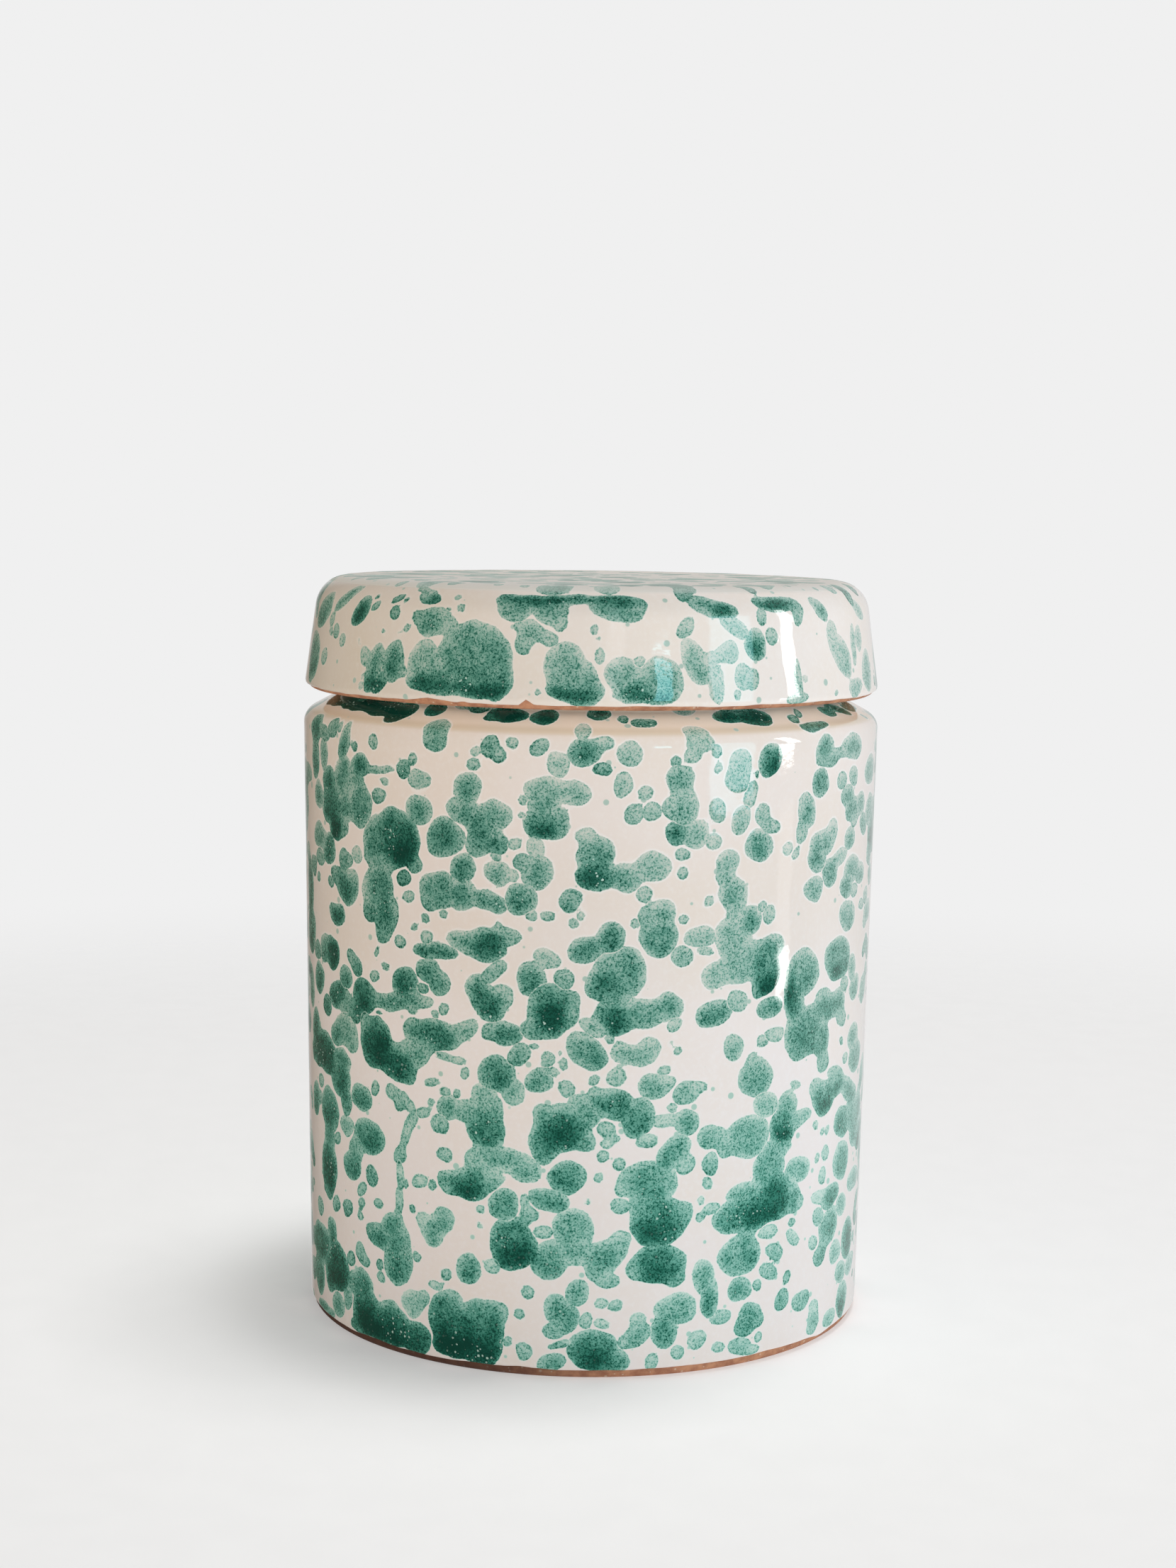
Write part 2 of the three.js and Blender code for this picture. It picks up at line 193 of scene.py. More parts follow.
    (5.7, 82.1, 2.4, 2.6, 1.2), (6, 77.7, 4.6, 3.6, 1.7), (12.1, 78.8, 4.2, 3.2, 1.2),
    (17.1, 79.6, 3, 2.8, 1.2), (18.2, 76.1, 1.7, 1.1, 15, 0.7), (27.8, 86, 3.6, 2.8, 0.8),
    (27.6, 77.7, 4.6, 2.8, 1.3), (31.9, 86.8, 5.8, 3, 0.8), (40.2, 86.2, 3.9, 5.4, 1.7),
    (34, 90, 5, 2.8, 0.8), (38.3, 82.1, 1.4, 1.6, 1.0), (33.3, 79.9, 2.3, 2.3, 0.9),
    (41.9, 77.7, 3.6, 2.2, 1.4), (48.8, 81.6, 2.8, 6.6, 1.5), (52.4, 84.4, 5.2, 5.4, 1.1),
    (49.6, 76.8, 3, 3, 1.2), (54.2, 73.9, 5.4, 2.2, 1.1), (65.8, 85.4, 6, 5, 1.3),
    (73.3, 82.1, 2.2, 2.8, 0.9), (75.5, 77.7, 3.4, 2.6, 0.9), (83.6, 76, 3, 3, 0.9),
    (61.5, 75.4, 6, 3, 1.3), (66.3, 75.4, 3.4, 2.8, 1.1), (59.6, 78.4, 2.6, 1.4, 0.9),
    (69.1, 79.1, 2, 1.8, 0.8), (68.3, 72.1, 2.2, 1.6, 0.9),

    (-79.3, 66.6, 3.5, 4, 1.4), (-78.8, 61, 4.5, 3.4, 1.8), (-73.2, 62.1, 7.5, 4.6, -15, 2.0),
    (-66, 67.1, 3, 2.6, 1.3), (-62.3, 68.9, 4.6, 3.8, 1.0), (-59.5, 67.4, 2.3, 2.7, 0.9),
    (-63.8, 61.6, 3.6, 2.6, 1.3), (-64.3, 57.1, 4.4, 3.6, 1.7), (-62.1, 52.7, 2.6, 3, 1.6),
    (-70.7, 49.6, 4.4, 5, 1.7), (-80.4, 49.9, 3.2, 4, 1.5), (-76.6, 51, 2, 1.6, 1.0),
    (-76, 54.9, 2, 1.3, 1.0), (-62.1, 47.7, 3.6, 2, 0.9), (-50.4, 67.7, 5.6, 5.6, 1.9),
    (-53.8, 71.6, 2, 1.8, 1.2), (-44.3, 64.9, 5.6, 4.2, 1.8), (-41.6, 63.2, 2.6, 3, 1.2),
    (-45.7, 57.9, 2, 1.6, 1.1), (-43.2, 56, 2.1, 2.1, 1.1), (-40.4, 55.4, 1.3, 1.2, 0.9),
    (-51, 57.9, 1.3, 1.5, 1.1), (-55.7, 54.9, 3.8, 3, 1.5), (-52.9, 46.6, 5.4, 3.8, 1.5),
    (-37.1, 54.7, 1.9, 1, 15, 0.9), (-39.9, 52.4, 2.2, 1, 55, 1.0), (-41.7, 48.6, 3.4, 1, 72, 1.0),
    (-32.9, 52.7, 2.2, 1.8, -25, 1.1), (-31.3, 46.8, 2, 1.4, 1.0), (-30.7, 56.6, 3, 2.8, 1.2),
    (-31.6, 59.9, 1.2, 1, 0.9), (-34.3, 61.8, 2, 0.8, 10, 0.7), (-35, 57.4, 0.7, 0.8, 0.7),
    (-19, 65.2, 3.9, 3.9, 1.5), (-15.4, 61, 2.6, 2.6, 0.9), (-22, 59.9, 2.6, 2.8, 0.9),
    (-28.4, 60, 1, 1, 0.8), (-9.8, 64, 3.3, 2.3, 25, 1.3), (-6.5, 66.3, 1.1, 0.9, 0.7),
    (-4.3, 62.9, 1.7, 1.7, 1.0), (-21.8, 53.2, 4.4, 5.2, 1.7), (-19.8, 57.4, 1.9, 2.6, 1.0),
    (-26.6, 56.3, 2.6, 2.4, 1.0), (-18, 47, 6, 2.6, 0.9), (-23.9, 46.4, 2.6, 2, 0.9),
    (-5.1, 53.8, 6.2, 4.8, 1.8), (-8.7, 51, 3.6, 4.6, 1.4), (-9, 56.6, 2.6, 2.6, 1.2),
    (-5.9, 58.2, 1.8, 1.6, 0.9), (-0.1, 57.5, 3.5, 2.7, -40, 1.2), (-0.1, 51.3, 2.4, 2.1, 1.1),
    (-1.8, 60.2, 2.1, 1.6, 1.1), (1.8, 62.1, 1.3, 1.1, 0.8), (1.6, 64.6, 1.5, 1, 0.8),
    (6.3, 64.6, 1.8, 1.9, 0.9), (5.4, 59.3, 5.6, 2.9, -15, 1.7), (11.6, 56.6, 3.4, 4.2, -30, 1.5),
    (17.1, 55.4, 2.6, 1.4, 0.8), (21.8, 54.9, 2.9, 2.6, 1.2), (13.2, 51.6, 2, 1.4, 0.9),
    (4.3, 54.3, 1.7, 1.4, 1.0), (6.6, 52.4, 0.7, 0.7, 0.8), (4.6, 51, 1.2, 0.9, 0.7),
    (3.8, 48.5, 1.3, 1.2, 0.9), (9.9, 69.6, 4.9, 2.2, 1.0), (12.9, 71.3, 2.6, 2.2, 0.8),
    (7.1, 71.3, 1.3, 1.2, 0.8), (19.6, 70.9, 0.9, 0.9, 0.9), (17.8, 72.4, 0.5, 0.5, 0.8),
    (14.3, 63.2, 3.8, 2.8, 1.0), (17.7, 63.8, 1.7, 1.3, 0.8), (16.6, 66.7, 1.4, 1, 0.8),
    (21.6, 61, 2.9, 2.3, 30, 1.1), (24.6, 62.7, 1.8, 1.1, 0.8), (18.5, 58.1, 1.1, 1, 0.7),
    (18.8, 48.8, 4.6, 2.8, 35, 1.2), (26.8, 51.3, 2.5, 2.5, 1.1), (22.1, 46, 2, 1.9, 0.9),
    (27.7, 45.6, 1.9, 2.4, 1.0), (7.7, 46.6, 1.5, 1.3, 0.8), (32.4, 70.4, 2.5, 2.7, 1.0),
    (43.6, 71.8, 2.7, 1.4, 0.7), (40.3, 70.4, 1.6, 1.2, 0.8), (38.6, 63.2, 4.5, 4, 1.1),
    (37.4, 67.4, 1.4, 1.1, 0.8), (41.6, 57.1, 3.4, 3, 0.8), (48.3, 56.3, 3.2, 2.4, 0.9),
    (47.2, 51.6, 4.2, 4.2, 1.5), (52.4, 52.1, 3.6, 1.9, 12, 0.9), (37.2, 50.4, 5.6, 4.8, 1.0),
    (29.7, 50.6, 1.8, 2.2, 1.0), (31.6, 48.2, 2, 1.6, 0.9), (45.2, 46.6, 4.5, 2, 0.9),
    (53.6, 70.4, 5.5, 4.6, 1.4), (49.4, 71, 2.8, 4.2, 1.1), (51.3, 67.1, 3, 2, 1.2),
    (59.1, 68.8, 3.8, 3.4, -30, 1.3), (60.5, 63.8, 2.2, 2.4, 1.0), (60.8, 55.4, 4.6, 3.8, -25, 1.3),
    (58, 58.2, 2.4, 2.2, 0.9), (66.3, 57.1, 5, 2.8, 1.3), (66.3, 59.9, 4, 1.6, -20, 0.9),
    (74.1, 54.9, 6, 2.2, -25, 1.1), (77.4, 52.7, 3, 2, 1.2), (71.3, 48.2, 4.2, 3.4, 1.3),
    (79.7, 48.2, 6, 4, 1.0), (76.3, 66.6, 4, 2.8, 0.9), (78.6, 61.6, 5, 3.6, 1.0),
    (71.1, 62.7, 1.6, 1.4, 0.7), (68.8, 67.1, 0.9, 0.9, 0.9), (50.8, 60.2, 1.6, 0.8, 0.6),
    (58, 49.9, 1.1, 1, 0.6), (61.3, 48, 0.9, 0.8, 0.7), (63.8, 47.7, 0.9, 0.9, 0.7),

    (-71.2, 36.2, 4.9, 6, 2.0), (-70.7, 42.7, 2.6, 3, 1.4), (-71.8, 31, 2.8, 1.8, 1.5),
    (-66.8, 43.8, 1.6, 1.4, 1.2), (-60, 39.4, 3.3, 3.2, 1.7), (-58.2, 43.2, 2.4, 2.4, 1.2),
    (-52.4, 38.4, 2.4, 2.1, -40, 1.6), (-56.3, 34.7, 2.2, 1.4, 45, 1.2), (-56, 31.4, 1.5, 1.2, 1.2),
    (-50.4, 32.4, 1.3, 1.1, 1.2), (-56.3, 28.2, 1.2, 0.9, 0.8), (-61.8, 28.8, 2, 1.7, 1.4),
    (-67.1, 28.7, 1.9, 1.5, 1.2), (-77.7, 25.7, 2.1, 2, 1.0), (-43.2, 44.3, 1.8, 1.7, 1.2),
    (-43.5, 40, 3.2, 0.9, 88, 0.9), (-43.8, 34.6, 3.6, 1.2, 90, 1.0), (-45.7, 28.2, 3.6, 3, 1.3),
    (-44.3, 21.6, 3.9, 5.8, 1.3), (-49.9, 25.4, 3.2, 2.4, 1.5), (-52.1, 26.3, 2, 1.7, 1.4),
    (-43.2, 25.8, 2.4, 2.6, 1.1), (-49.6, 19.3, 1.3, 1.2, 1.2), (-49.1, 16.3, 1.3, 1, 0.9),
    (-39.1, 22.9, 1.2, 0.9, 0.9), (-39.7, 33.8, 0.9, 0.9, 1.1), (-41.7, 38.8, 0.9, 0.7, 0.8),
    (-37.5, 39.8, 2, 1.3, 0.8), (-34.1, 39.2, 1.1, 1.1, 0.9), (-34.6, 29.3, 3, 3.6, 1.0),
    (-31.6, 32.1, 2.7, 2.7, 1.1), (-37.1, 31.8, 1.6, 1.6, 0.6), (-28.6, 41, 4, 3, 1.4),
    (-30.7, 39.9, 1.2, 1.6, 1.1), (-31.3, 20.6, 1.1, 1.1, 1.0), (-33.5, 17.7, 1.7, 0.8, 0.6),
    (-24.6, 41.2, 4.3, 4, 1.5), (-20.7, 42.1, 3.2, 2.2, 1.0), (-12.9, 44.6, 4, 2.8, 1.0),
    (-3.4, 43.7, 3.9, 3.2, 1.5), (3.2, 43.7, 1, 1, 0.7), (0.9, 38.7, 0.6, 0.5, 0.8),
    (-7.3, 38.8, 4.2, 2.5, 1.3), (-12.4, 37.8, 1, 1.2, 0.8), (-11.5, 35.1, 1.9, 1.5, 0.9),
    (-17.4, 36.8, 3.3, 3.2, 1.3), (-22.5, 35.4, 1, 0.9, 0.7), (-22.5, 31.8, 0.6, 0.6, 0.6),
    (-15.7, 28.8, 5.2, 5.6, 1.8), (-7.6, 25.6, 4.3, 4.2, 30, 1.2), (-20.1, 23.7, 1.7, 1.6, 0.7),
    (-8.9, 31.7, 1.8, 1.4, 0.8), (-2.6, 32.7, 4.4, 4.8, 1.0), (-2.3, 27.7, 3, 3.2, 0.8),
    (4.3, 27.1, 5.5, 3.4, 25, 1.1), (7.4, 30.4, 2.5, 2, 0.8), (2.9, 23.8, 2.8, 2.2, 1.0),
    (5.4, 21.8, 2.6, 1.7, 0.9), (7.4, 37.4, 2.1, 1.6, 0.9), (14.6, 42.9, 5.4, 4.6, 1.3),
    (9.9, 42.7, 2.6, 3, 1.0), (7.7, 40.7, 1.2, 1.2, 0.8), (17.7, 42.7, 2.6, 3, 0.8),
    (16, 34.1, 6.6, 5.6, 1.6), (21, 35.4, 2.6, 2.6, 1.0), (12.1, 37.7, 3, 2.3, 0.9),
    (16.3, 24.9, 6.3, 4, 1.6), (19.9, 21.6, 2.4, 1.6, 1.1), (11.3, 23.8, 1.8, 1.8, 0.9),
    (-25.7, 22.1, 3.1, 3.2, 1.4), (-12.3, 18.6, 1.4, 1.3, 0.9), (-1.2, 18.8, 2.3, 2.9, -20, 1.1),
    (27.1, 41.5, 1.2, 1.2, 0.8), (25.7, 34.3, 1.1, 1.1, 0.7), (25.8, 37.9, 0.9, 0.8, 0.6),
    (28.6, 36.3, 1.8, 1.1, 0.8), (33, 33.2, 4.4, 3.6, 1.2), (39.1, 34.3, 6.3, 4.4, 1.5),
    (45.2, 36, 6, 5, 1.5), (43, 42.7, 4.6, 4, 1.1), (52.4, 41, 4.2, 2.6, 0.9), (50.8, 35.4, 2.4, 3.2, 1.1),
    (36.3, 38.2, 4, 2.2, 1.0), (53.2, 34, 1.4, 1.3, 0.7), (35.2, 24.3, 5.6, 4, 1.0),
    (38, 24.9, 3.6, 4.4, 1.2), (37.2, 28.8, 2.2, 2, 1.3), (43.6, 28.8, 2.4, 1.4, 0.7),
    (45.3, 24.1, 2.5, 1.8, -20, 1.0), (43.8, 19.6, 2.6, 1.6, -20, 0.9), (51.3, 26, 2.8, 1.4, -45, 0.7),
    (50.8, 29.9, 1.1, 1.1, 0.8), (71.3, 39.3, 4.4, 4.6, 1.0), (65.8, 32.4, 4.2, 2.8, 1.2),
    (60.8, 33.5, 3, 1.6, 0.5), (62.4, 37.9, 1.6, 1.7, 0.7), (63.4, 42.7, 1.6, 1.6, 0.7),
    (59.4, 42.4, 1, 1, 0.6), (72.4, 28.8, 3.2, 2.6, 0.8), (81.3, 32.7, 5, 2.6, 0.8),
    (81.3, 43.8, 5, 3, 1.0), (65.8, 25.4, 4.8, 4.2, 1.0), (60.8, 28.8, 2, 2.2, 0.8),
    (58.8, 23.2, 1.6, 1.5, 0.7), (61.9, 19.6, 2.7, 2, 1.2), (63.6, 21.8, 2.4, 1.6, 1.1),
    (78, 19.9, 4.4, 4.6, 1.3), (70.2, 18.8, 3, 2.6, 0.8),

    (-79.4, 9.9, 4.4, 4.6, 1.5), (-77.7, 17.4, 6.4, 4.6, 1.7), (-70.2, 22.1, 2.6, 3.6, 1.6),
    (-67.6, 14.6, 6, 5.8, 2.0), (-70.4, 12.7, 3.6, 4.6, 1.6), (-66.8, 5.7, 2.9, 2.6, 1.1),
    (-74.9, 3.2, 6, 1.4, 1.4), (-62.4, 8.8, 1.9, 3, 1.3), (-60.7, 18.2, 1.7, 1.6, 1.4),
    (-56.6, 20.4, 1.9, 2, 1.1), (-55.2, 18.8, 2, 1.3, 1.1), (-56.3, 12.7, 4.2, 4, 1.5),
    (-59.9, 13.2, 2.4, 2.4, 1.2), (-54.9, 7.7, 5, 4.8, 2.0), (-50, 4.6, 8.6, 2.6, 2.0),
    (-58.2, 3.2, 2.2, 1.6, 1.4), (-46.6, 6, 7, 4.8, 1.9), (-39, 5.2, 3.9, 3.8, 1.9),
    (-46.3, 9.9, 3, 2, 1.2), (-39.6, 12.7, 3.2, 3, 0.8), (-36.6, 14.1, 1.7, 1.8, 1.1),
    (-30.9, 10.4, 4.1, 6.6, 1.8), (-29.9, 14.9, 3, 2.6, 1.2), (-22.9, 8.4, 6, 7.2, 1.9),
    (-26.5, 4.8, 8, 2.8, 2.0), (-21.8, 12.9, 5, 2.8, 1.1), (-17.9, 13.2, 1.5, 2, 1.0),
    (-15.9, 7.4, 0.9, 0.8, 0.8), (-13.7, 13.2, 1.2, 1.2, 0.9), (-12.6, 5.6, 1.6, 1.6, 0.9),
    (-5.4, 15.4, 3.1, 2.4, -60, 1.2), (-3.4, 13.2, 2.8, 3, 1.2), (-6.2, 10.7, 2.2, 1.6, 1.1),
    (1, 12.7, 1.6, 1.8, 0.8), (4.3, 16.6, 1.3, 1.1, 0.6), (7.1, 16, 1.5, 1.2, 0.8),
    (4.3, 12.1, 1.2, 1, 0.6), (-4.8, 7.7, 2.4, 0.8, 15, 0.9), (-6.8, 3.2, 3.2, 2, 20, 1.2),
    (2.1, 6.4, 5.4, 4.2, 1.5), (7.1, 4.3, 3.2, 2.6, 1.3), (11.8, 9.6, 3.2, 2.3, 20, 1.2),
    (8.8, 8.2, 1.8, 1.2, 0.9), (11.8, 12.9, 1.8, 1.4, 0.6), (14.9, 3.2, 1.4, 1.7, 0.7),
    (19.9, 14.9, 4.6, 3.4, 1.0), (17.7, 9.6, 2.9, 3.8, 1.4), (22.7, 14.3, 2.4, 2.6, 0.9),
    (21.2, 4.9, 1.7, 1.5, 0.8), (26.3, 21, 2.4, 3.4, 1.0), (28.4, 16, 2.2, 3.8, 1.2),
    (25.7, 7.7, 2.2, 2, 0.7), (36.1, 17.1, 2.8, 2.7, 1.1), (40.5, 17.3, 1.2, 1.2, 0.9),
    (50.2, 17.5, 1.4, 1.4, 1.0), (48.7, 12.8, 2.4, 2.2, 1.2), (54.9, 11.3, 2.7, 2.1, 1.0),
    (38.8, 11, 3, 2.9, 1.4), (37.2, 8.8, 2.6, 1.8, 1.2), (41.3, 9.9, 1.8, 1.4, 1.0),
    (31.3, 12.1, 2.6, 1.6, 0.8), (30.8, 5, 1.5, 1.2, 0.8), (36.1, 4.9, 3, 1.9, 1.1), (39.1, 3.5, 3, 1, 0.7),
    (41.6, 6, 1.2, 1.2, 0.7), (60.2, 6, 2.6, 2.4, 0.9), (59.1, 3.8, 2, 1.4, 0.8),
    (60.2, 8.7, 2.2, 1.4, 0.7), (68, 4.1, 3.2, 1.9, 0.9), (75.5, 6.6, 4, 4, 1.2),
    (73.6, 13.2, 3.2, 2.6, 0.9), (80.8, 13.2, 4, 2.4, 0.8),
]

# Where the green has run together: place, height, half width, half height and added ink
JAR_POOLS = [
    (-65.3, 113, 2.4, 2.8, 1.6), (-42.1, 110.5, 3, 4.2, 1.6), (-10, 116, 2.5, 1.8, 1.1),
    (1, 107, 3, 2.5, 1.2), (41.3, 129, 1.6, 2.4, 1.4), (-21, 92, 3.5, 1.6, 1.1), (-67, 85, 2.5, 2.5, 1.1),
    (2.9, 84, 2, 2.4, 0.8), (-21.7, 79.6, 2.6, 3, 0.8), (-7.6, 77.7, 2.6, 3, 1.5), (6.5, 77, 2.5, 3, 0.9),
    (41.3, 82.6, 2.3, 2.4, 1.8), (48, 80, 1.6, 3.5, 0.9), (64.5, 82.5, 4, 1.6, 0.6),
    (-49.3, 66.5, 3.2, 3.4, 1.4), (-43, 63.5, 3, 2.4, 0.9), (-75, 62, 5, 3, 1.2), (-18, 64, 2, 1.8, 0.6),
    (-5.1, 52.7, 3, 3.2, 1.4), (62, 53, 3.5, 1.5, 0.8), (47, 49.4, 3, 1.6, 0.9), (-25, 39, 3.5, 2, 1.3),
    (-71, 35, 2.6, 3, 1.2), (42, 33.5, 5, 2.4, 1.2), (45, 38, 3, 2.4, 0.7), (15, 31.5, 4, 2.5, 0.8),
    (-14.4, 26, 3.4, 3, 1.4), (16.5, 22.7, 3.5, 2, 1.0), (78.5, 19.5, 2.6, 2.6, 0.7),
    (-67.7, 12.5, 4, 3.6, 1.4), (-54.5, 6, 4, 3.4, 1.4), (-48, 4, 10, 2.8, 1.6), (-31, 5, 4, 4, 1.4),
    (-25, 4.6, 8, 3.4, 1.8), (2, 4, 4, 3, 1.2), (75.5, 5, 2.4, 2.2, 0.8),
]

# The same for the skirt of the lid, with plain heights
LID_SPLASHES = [
    (-78.8, 159.3, 6, 3, 25, 1.3), (-83, 148.8, 5, 6, 1.3), (-66.4, 162.4, 5.8, 1.6, 30, 1.2),
    (-72.4, 157.4, 1.8, 1.6, 0.9), (-72.1, 154.9, 2, 0.9, -30, 0.8), (-68.6, 154.9, 1.8, 1.9, 1.0),
    (-65, 153.2, 1.4, 1.7, 0.7), (-74.6, 149.6, 1.9, 1.9, 0.9), (-59, 159.6, 4, 2.3, 40, 1.9),
    (-53.8, 161.4, 1.7, 0.9, 25, 1.0), (-54.2, 163.4, 1.1, 0.5, 10, 0.9), (-47, 163, 2.1, 0.9, 15, 1.4),
    (-44.3, 162.6, 0.9, 0.5, 20, 0.9), (-46.9, 160.2, 1.8, 1.3, 1.5), (-37.6, 163.5, 3.2, 1.4, 1.7),
    (-39.6, 164.8, 2.6, 0.7, 0.5), (-30.2, 164, 0.9, 0.5, 20, 0.8), (-29.2, 161.8, 0.9, 0.8, 0.9),
    (-31.6, 161.5, 0.6, 0.6, 0.7), (-43.3, 157, 0.9, 0.9, 0.8), (-50.1, 156, 0.7, 0.7, 0.7),
    (-45.2, 156, 0.5, 0.5, 0.6), (-58.4, 153, 1, 0.5, -40, 0.4), (-57.5, 148.5, 0.4, 0.3, 0.6),
    (-55, 150.4, 2.6, 1.5, -40, 0.9), (-55.3, 144.6, 1, 0.9, 0.5), (-55.2, 146.5, 0.5, 0.5, 0.6),

    (-51.9, 148, 5.4, 1.9, 74, 1.5), (-50.9, 145.2, 3, 2, 2.2), (-46.1, 149.7, 3.2, 4.6, 1.7),
    (-45.4, 153.4, 1.1, 1.4, 0.9), (-43, 147.6, 1.2, 1, 0.6), (-40, 159.2, 2, 1.4, 1.4),
    (-36, 158.3, 4.4, 3.1, 1.4), (-33.3, 159.6, 2.2, 2, 1.1), (-31.2, 157.4, 1.8, 2, 1.1),
    (-37.7, 149.6, 4.4, 4.9, 0.9), (-25.4, 151.6, 8.6, 7.3, 1.3), (-29.2, 146.4, 13, 3.2, 1.5),
    (-19.8, 147.6, 3.6, 4.4, 1.4), (-13, 157.4, 2.8, 2.4, 1.2), (-14.6, 154.4, 1.9, 2, 1.1),
    (-16.1, 158.2, 0.9, 0.9, 0.8), (-9.2, 156.2, 2.2, 1.5, -20, 0.9), (-6, 150.2, 4.4, 5.2, 1.0),
    (-3.6, 145.5, 6.4, 2.8, 1.3), (-1.6, 147.6, 3, 3.4, 1.1), (0.2, 157.1, 1, 1.1, 0.8),
    (1.6, 152.2, 1.3, 1.6, 0.8), (1.2, 155.4, 0.6, 0.5, 0.7), (-11.8, 144.6, 0.8, 0.9, 0.6),
    (6.2, 148.8, 3.6, 3.6, 1.0), (9.4, 146, 3.4, 3, 1.3), (14.6, 147.6, 4.6, 5.1, 1.1),
    (11.2, 144.6, 7, 2.1, 1.3), (9.8, 151.3, 1.3, 1.2, 0.7),

    (-14.5, 163.2, 6.6, 2, 1.5), (-16.6, 161.4, 3.6, 2.4, 1.2), (-8.6, 161.8, 3.6, 2.9, 1.2),
    (-6.7, 159.1, 1.6, 1.7, 1.0), (-4, 163.9, 7, 1.3, 1.5), (4.6, 162.2, 5.6, 2.9, 1.2),
    (8.6, 163.2, 2.8, 1.5, 1.4), (20.3, 158.1, 2.8, 1.5, 55, 0.9), (22.2, 151.3, 5.1, 2.8, -65, 0.9),
    (25.4, 151.4, 1.4, 2.4, 0.8), (26.6, 146.6, 1.7, 4, 0.8), (27.7, 152.6, 1.6, 1.3, 0.7),
    (30, 153, 2.2, 2.3, 0.8), (27, 162.4, 5.8, 2.1, -12, 1.4), (31.6, 158, 4, 1.9, -28, 0.9),
    (36.8, 154.6, 2.9, 3.4, 1.4), (32.9, 148.3, 2.3, 2.7, 0.8), (35.8, 147.6, 1.5, 2.1, 1.2),
    (31.5, 144.6, 1, 1.3, 0.7), (38.8, 160.2, 1.7, 1.9, 1.1), (43.2, 163, 6.6, 1.7, -4, 1.7),
    (49.3, 160.8, 1.8, 2.6, 1.2), (41.5, 156.2, 1.7, 1.9, 1.0), (48.2, 147.6, 1.3, 4, 1.1),
    (47.4, 143.5, 3.4, 1, 1.0), (50.5, 147.4, 1, 0.9, 0.5), (57.6, 161.6, 4.2, 1.8, -42, 1.2),
    (64.6, 151.9, 6.4, 3.3, -50, 0.8), (62, 156.9, 2, 2, 0.7), (71.6, 153.6, 1.6, 4.7, 0.9),
    (75.4, 155.3, 2.3, 2.8, 0.8), (71.2, 144.6, 4, 2, 0.9), (60.9, 143.7, 0.8, 0.7, 0.6),
    (79.6, 147.4, 4, 4.8, 0.9), (77.5, 161.2, 4.6, 1.7, -20, 0.8),
]
LID_POOLS = [
    (-37, 145, 4.6, 1.4, 1.6), (-22.6, 145, 5.6, 1.4, 1.8), (-30, 144.8, 5, 1.2, 0.8),
    (-4.4, 144.4, 5.2, 1.3, 1.3), (8.8, 145, 2.8, 1.3, 1.5), (13.5, 143.6, 4.6, 0.8, 1.2),
    (-12, 163.9, 9, 1, 1.8), (5, 163.8, 6, 1, 1.6), (42.6, 163, 5.6, 1.1, 1.2),
    (-58.6, 158.9, 2.2, 1.5, 1.0), (28.8, 161.8, 2.2, 1.5, 1.2), (-36.3, 163.7, 2.4, 1, 0.8),
    (-51, 144.8, 2.2, 1.2, 0.8), (36.9, 153.4, 1.4, 1.6, 0.9),
]

# Where none are listed, splashes are thrown at random: on the back, the neck and the top of the lid
BACK_EDGE = 84.0
BACK_COUNT = 880
BACK_HEIGHTS = (2, 135)
NECK_COUNT = 110
NECK_LOWEST = 147
NECK_LOWEST_BACK = 136
NECK_HIGHEST = 160
SKIRT_COUNT = 105
SKIRT_HEIGHTS = (143, 165)
TOP_COUNT = 270
SEED = 20417

# Splashes are spread over layers, so that neighbours which do not run together keep a seam
LAYERS = 3
# How softly splashes run together, and their ink with them
MERGE = 0.35
INK_BLEND = 0.9
# Distance of two splashes, squared and as a share of their sizes, at which they run together or are near
MERGE_SPAN = 0.80
NEAR_SPAN = 1.7
# How much more ink lies low in a splash
INK_FALL = 0.25
# Half widths between which a splash is less and less a small one
SMALL = (1.4, 2.9)
# How far round a splash its field is worked out, and the distance kept where no splash is near
REACH = 4.0
NO_SPLASH = 6.0
# Waves that make the splashes uneven: their lengths, and their height as a share of the length
WARP_LENGTHS = (14, 11, 9, 7, 6, 5, 4, 3.4)
WARP_SHARE = 0.017
# Keeps a point off the very middle of a splash, where its distance has no value
OFF_MIDDLE = 1e-7
# How far round a pool its ink is worked out, as a share of its size, and how sharply it ends
POOL_REACH = 2.2
POOL_FALL = 1.5

# Ink on the jar: heights between which it thins, the share left above them, and the share on the slope,
# raised there as painted shade under the lid
THIN_HEIGHTS = (92.0, 104.0)
THIN_INK = 0.92
SLOPE_HEIGHT = 138.0
SLOPE_SHADE_INK = 1.6
# It is thicker high on the left, and thinner at half height from the middle to the right and on the back
THICK_PLACES = (-50.0, -25.0)
THICK_HEIGHTS = (50.0, 90.0)
THICK_INK = 0.2
LIGHT_PLACES = (-25, 0)
LIGHT_HEIGHTS = (35, 60, 90, 110)
LIGHT_INK = 0.10
# Ink on the front of the lid: places round the girth and the share at each
LID_PLACES = (-50, 0, 40)
LID_SHARES = (0.95, 0.87, 0.76)


# Profiles

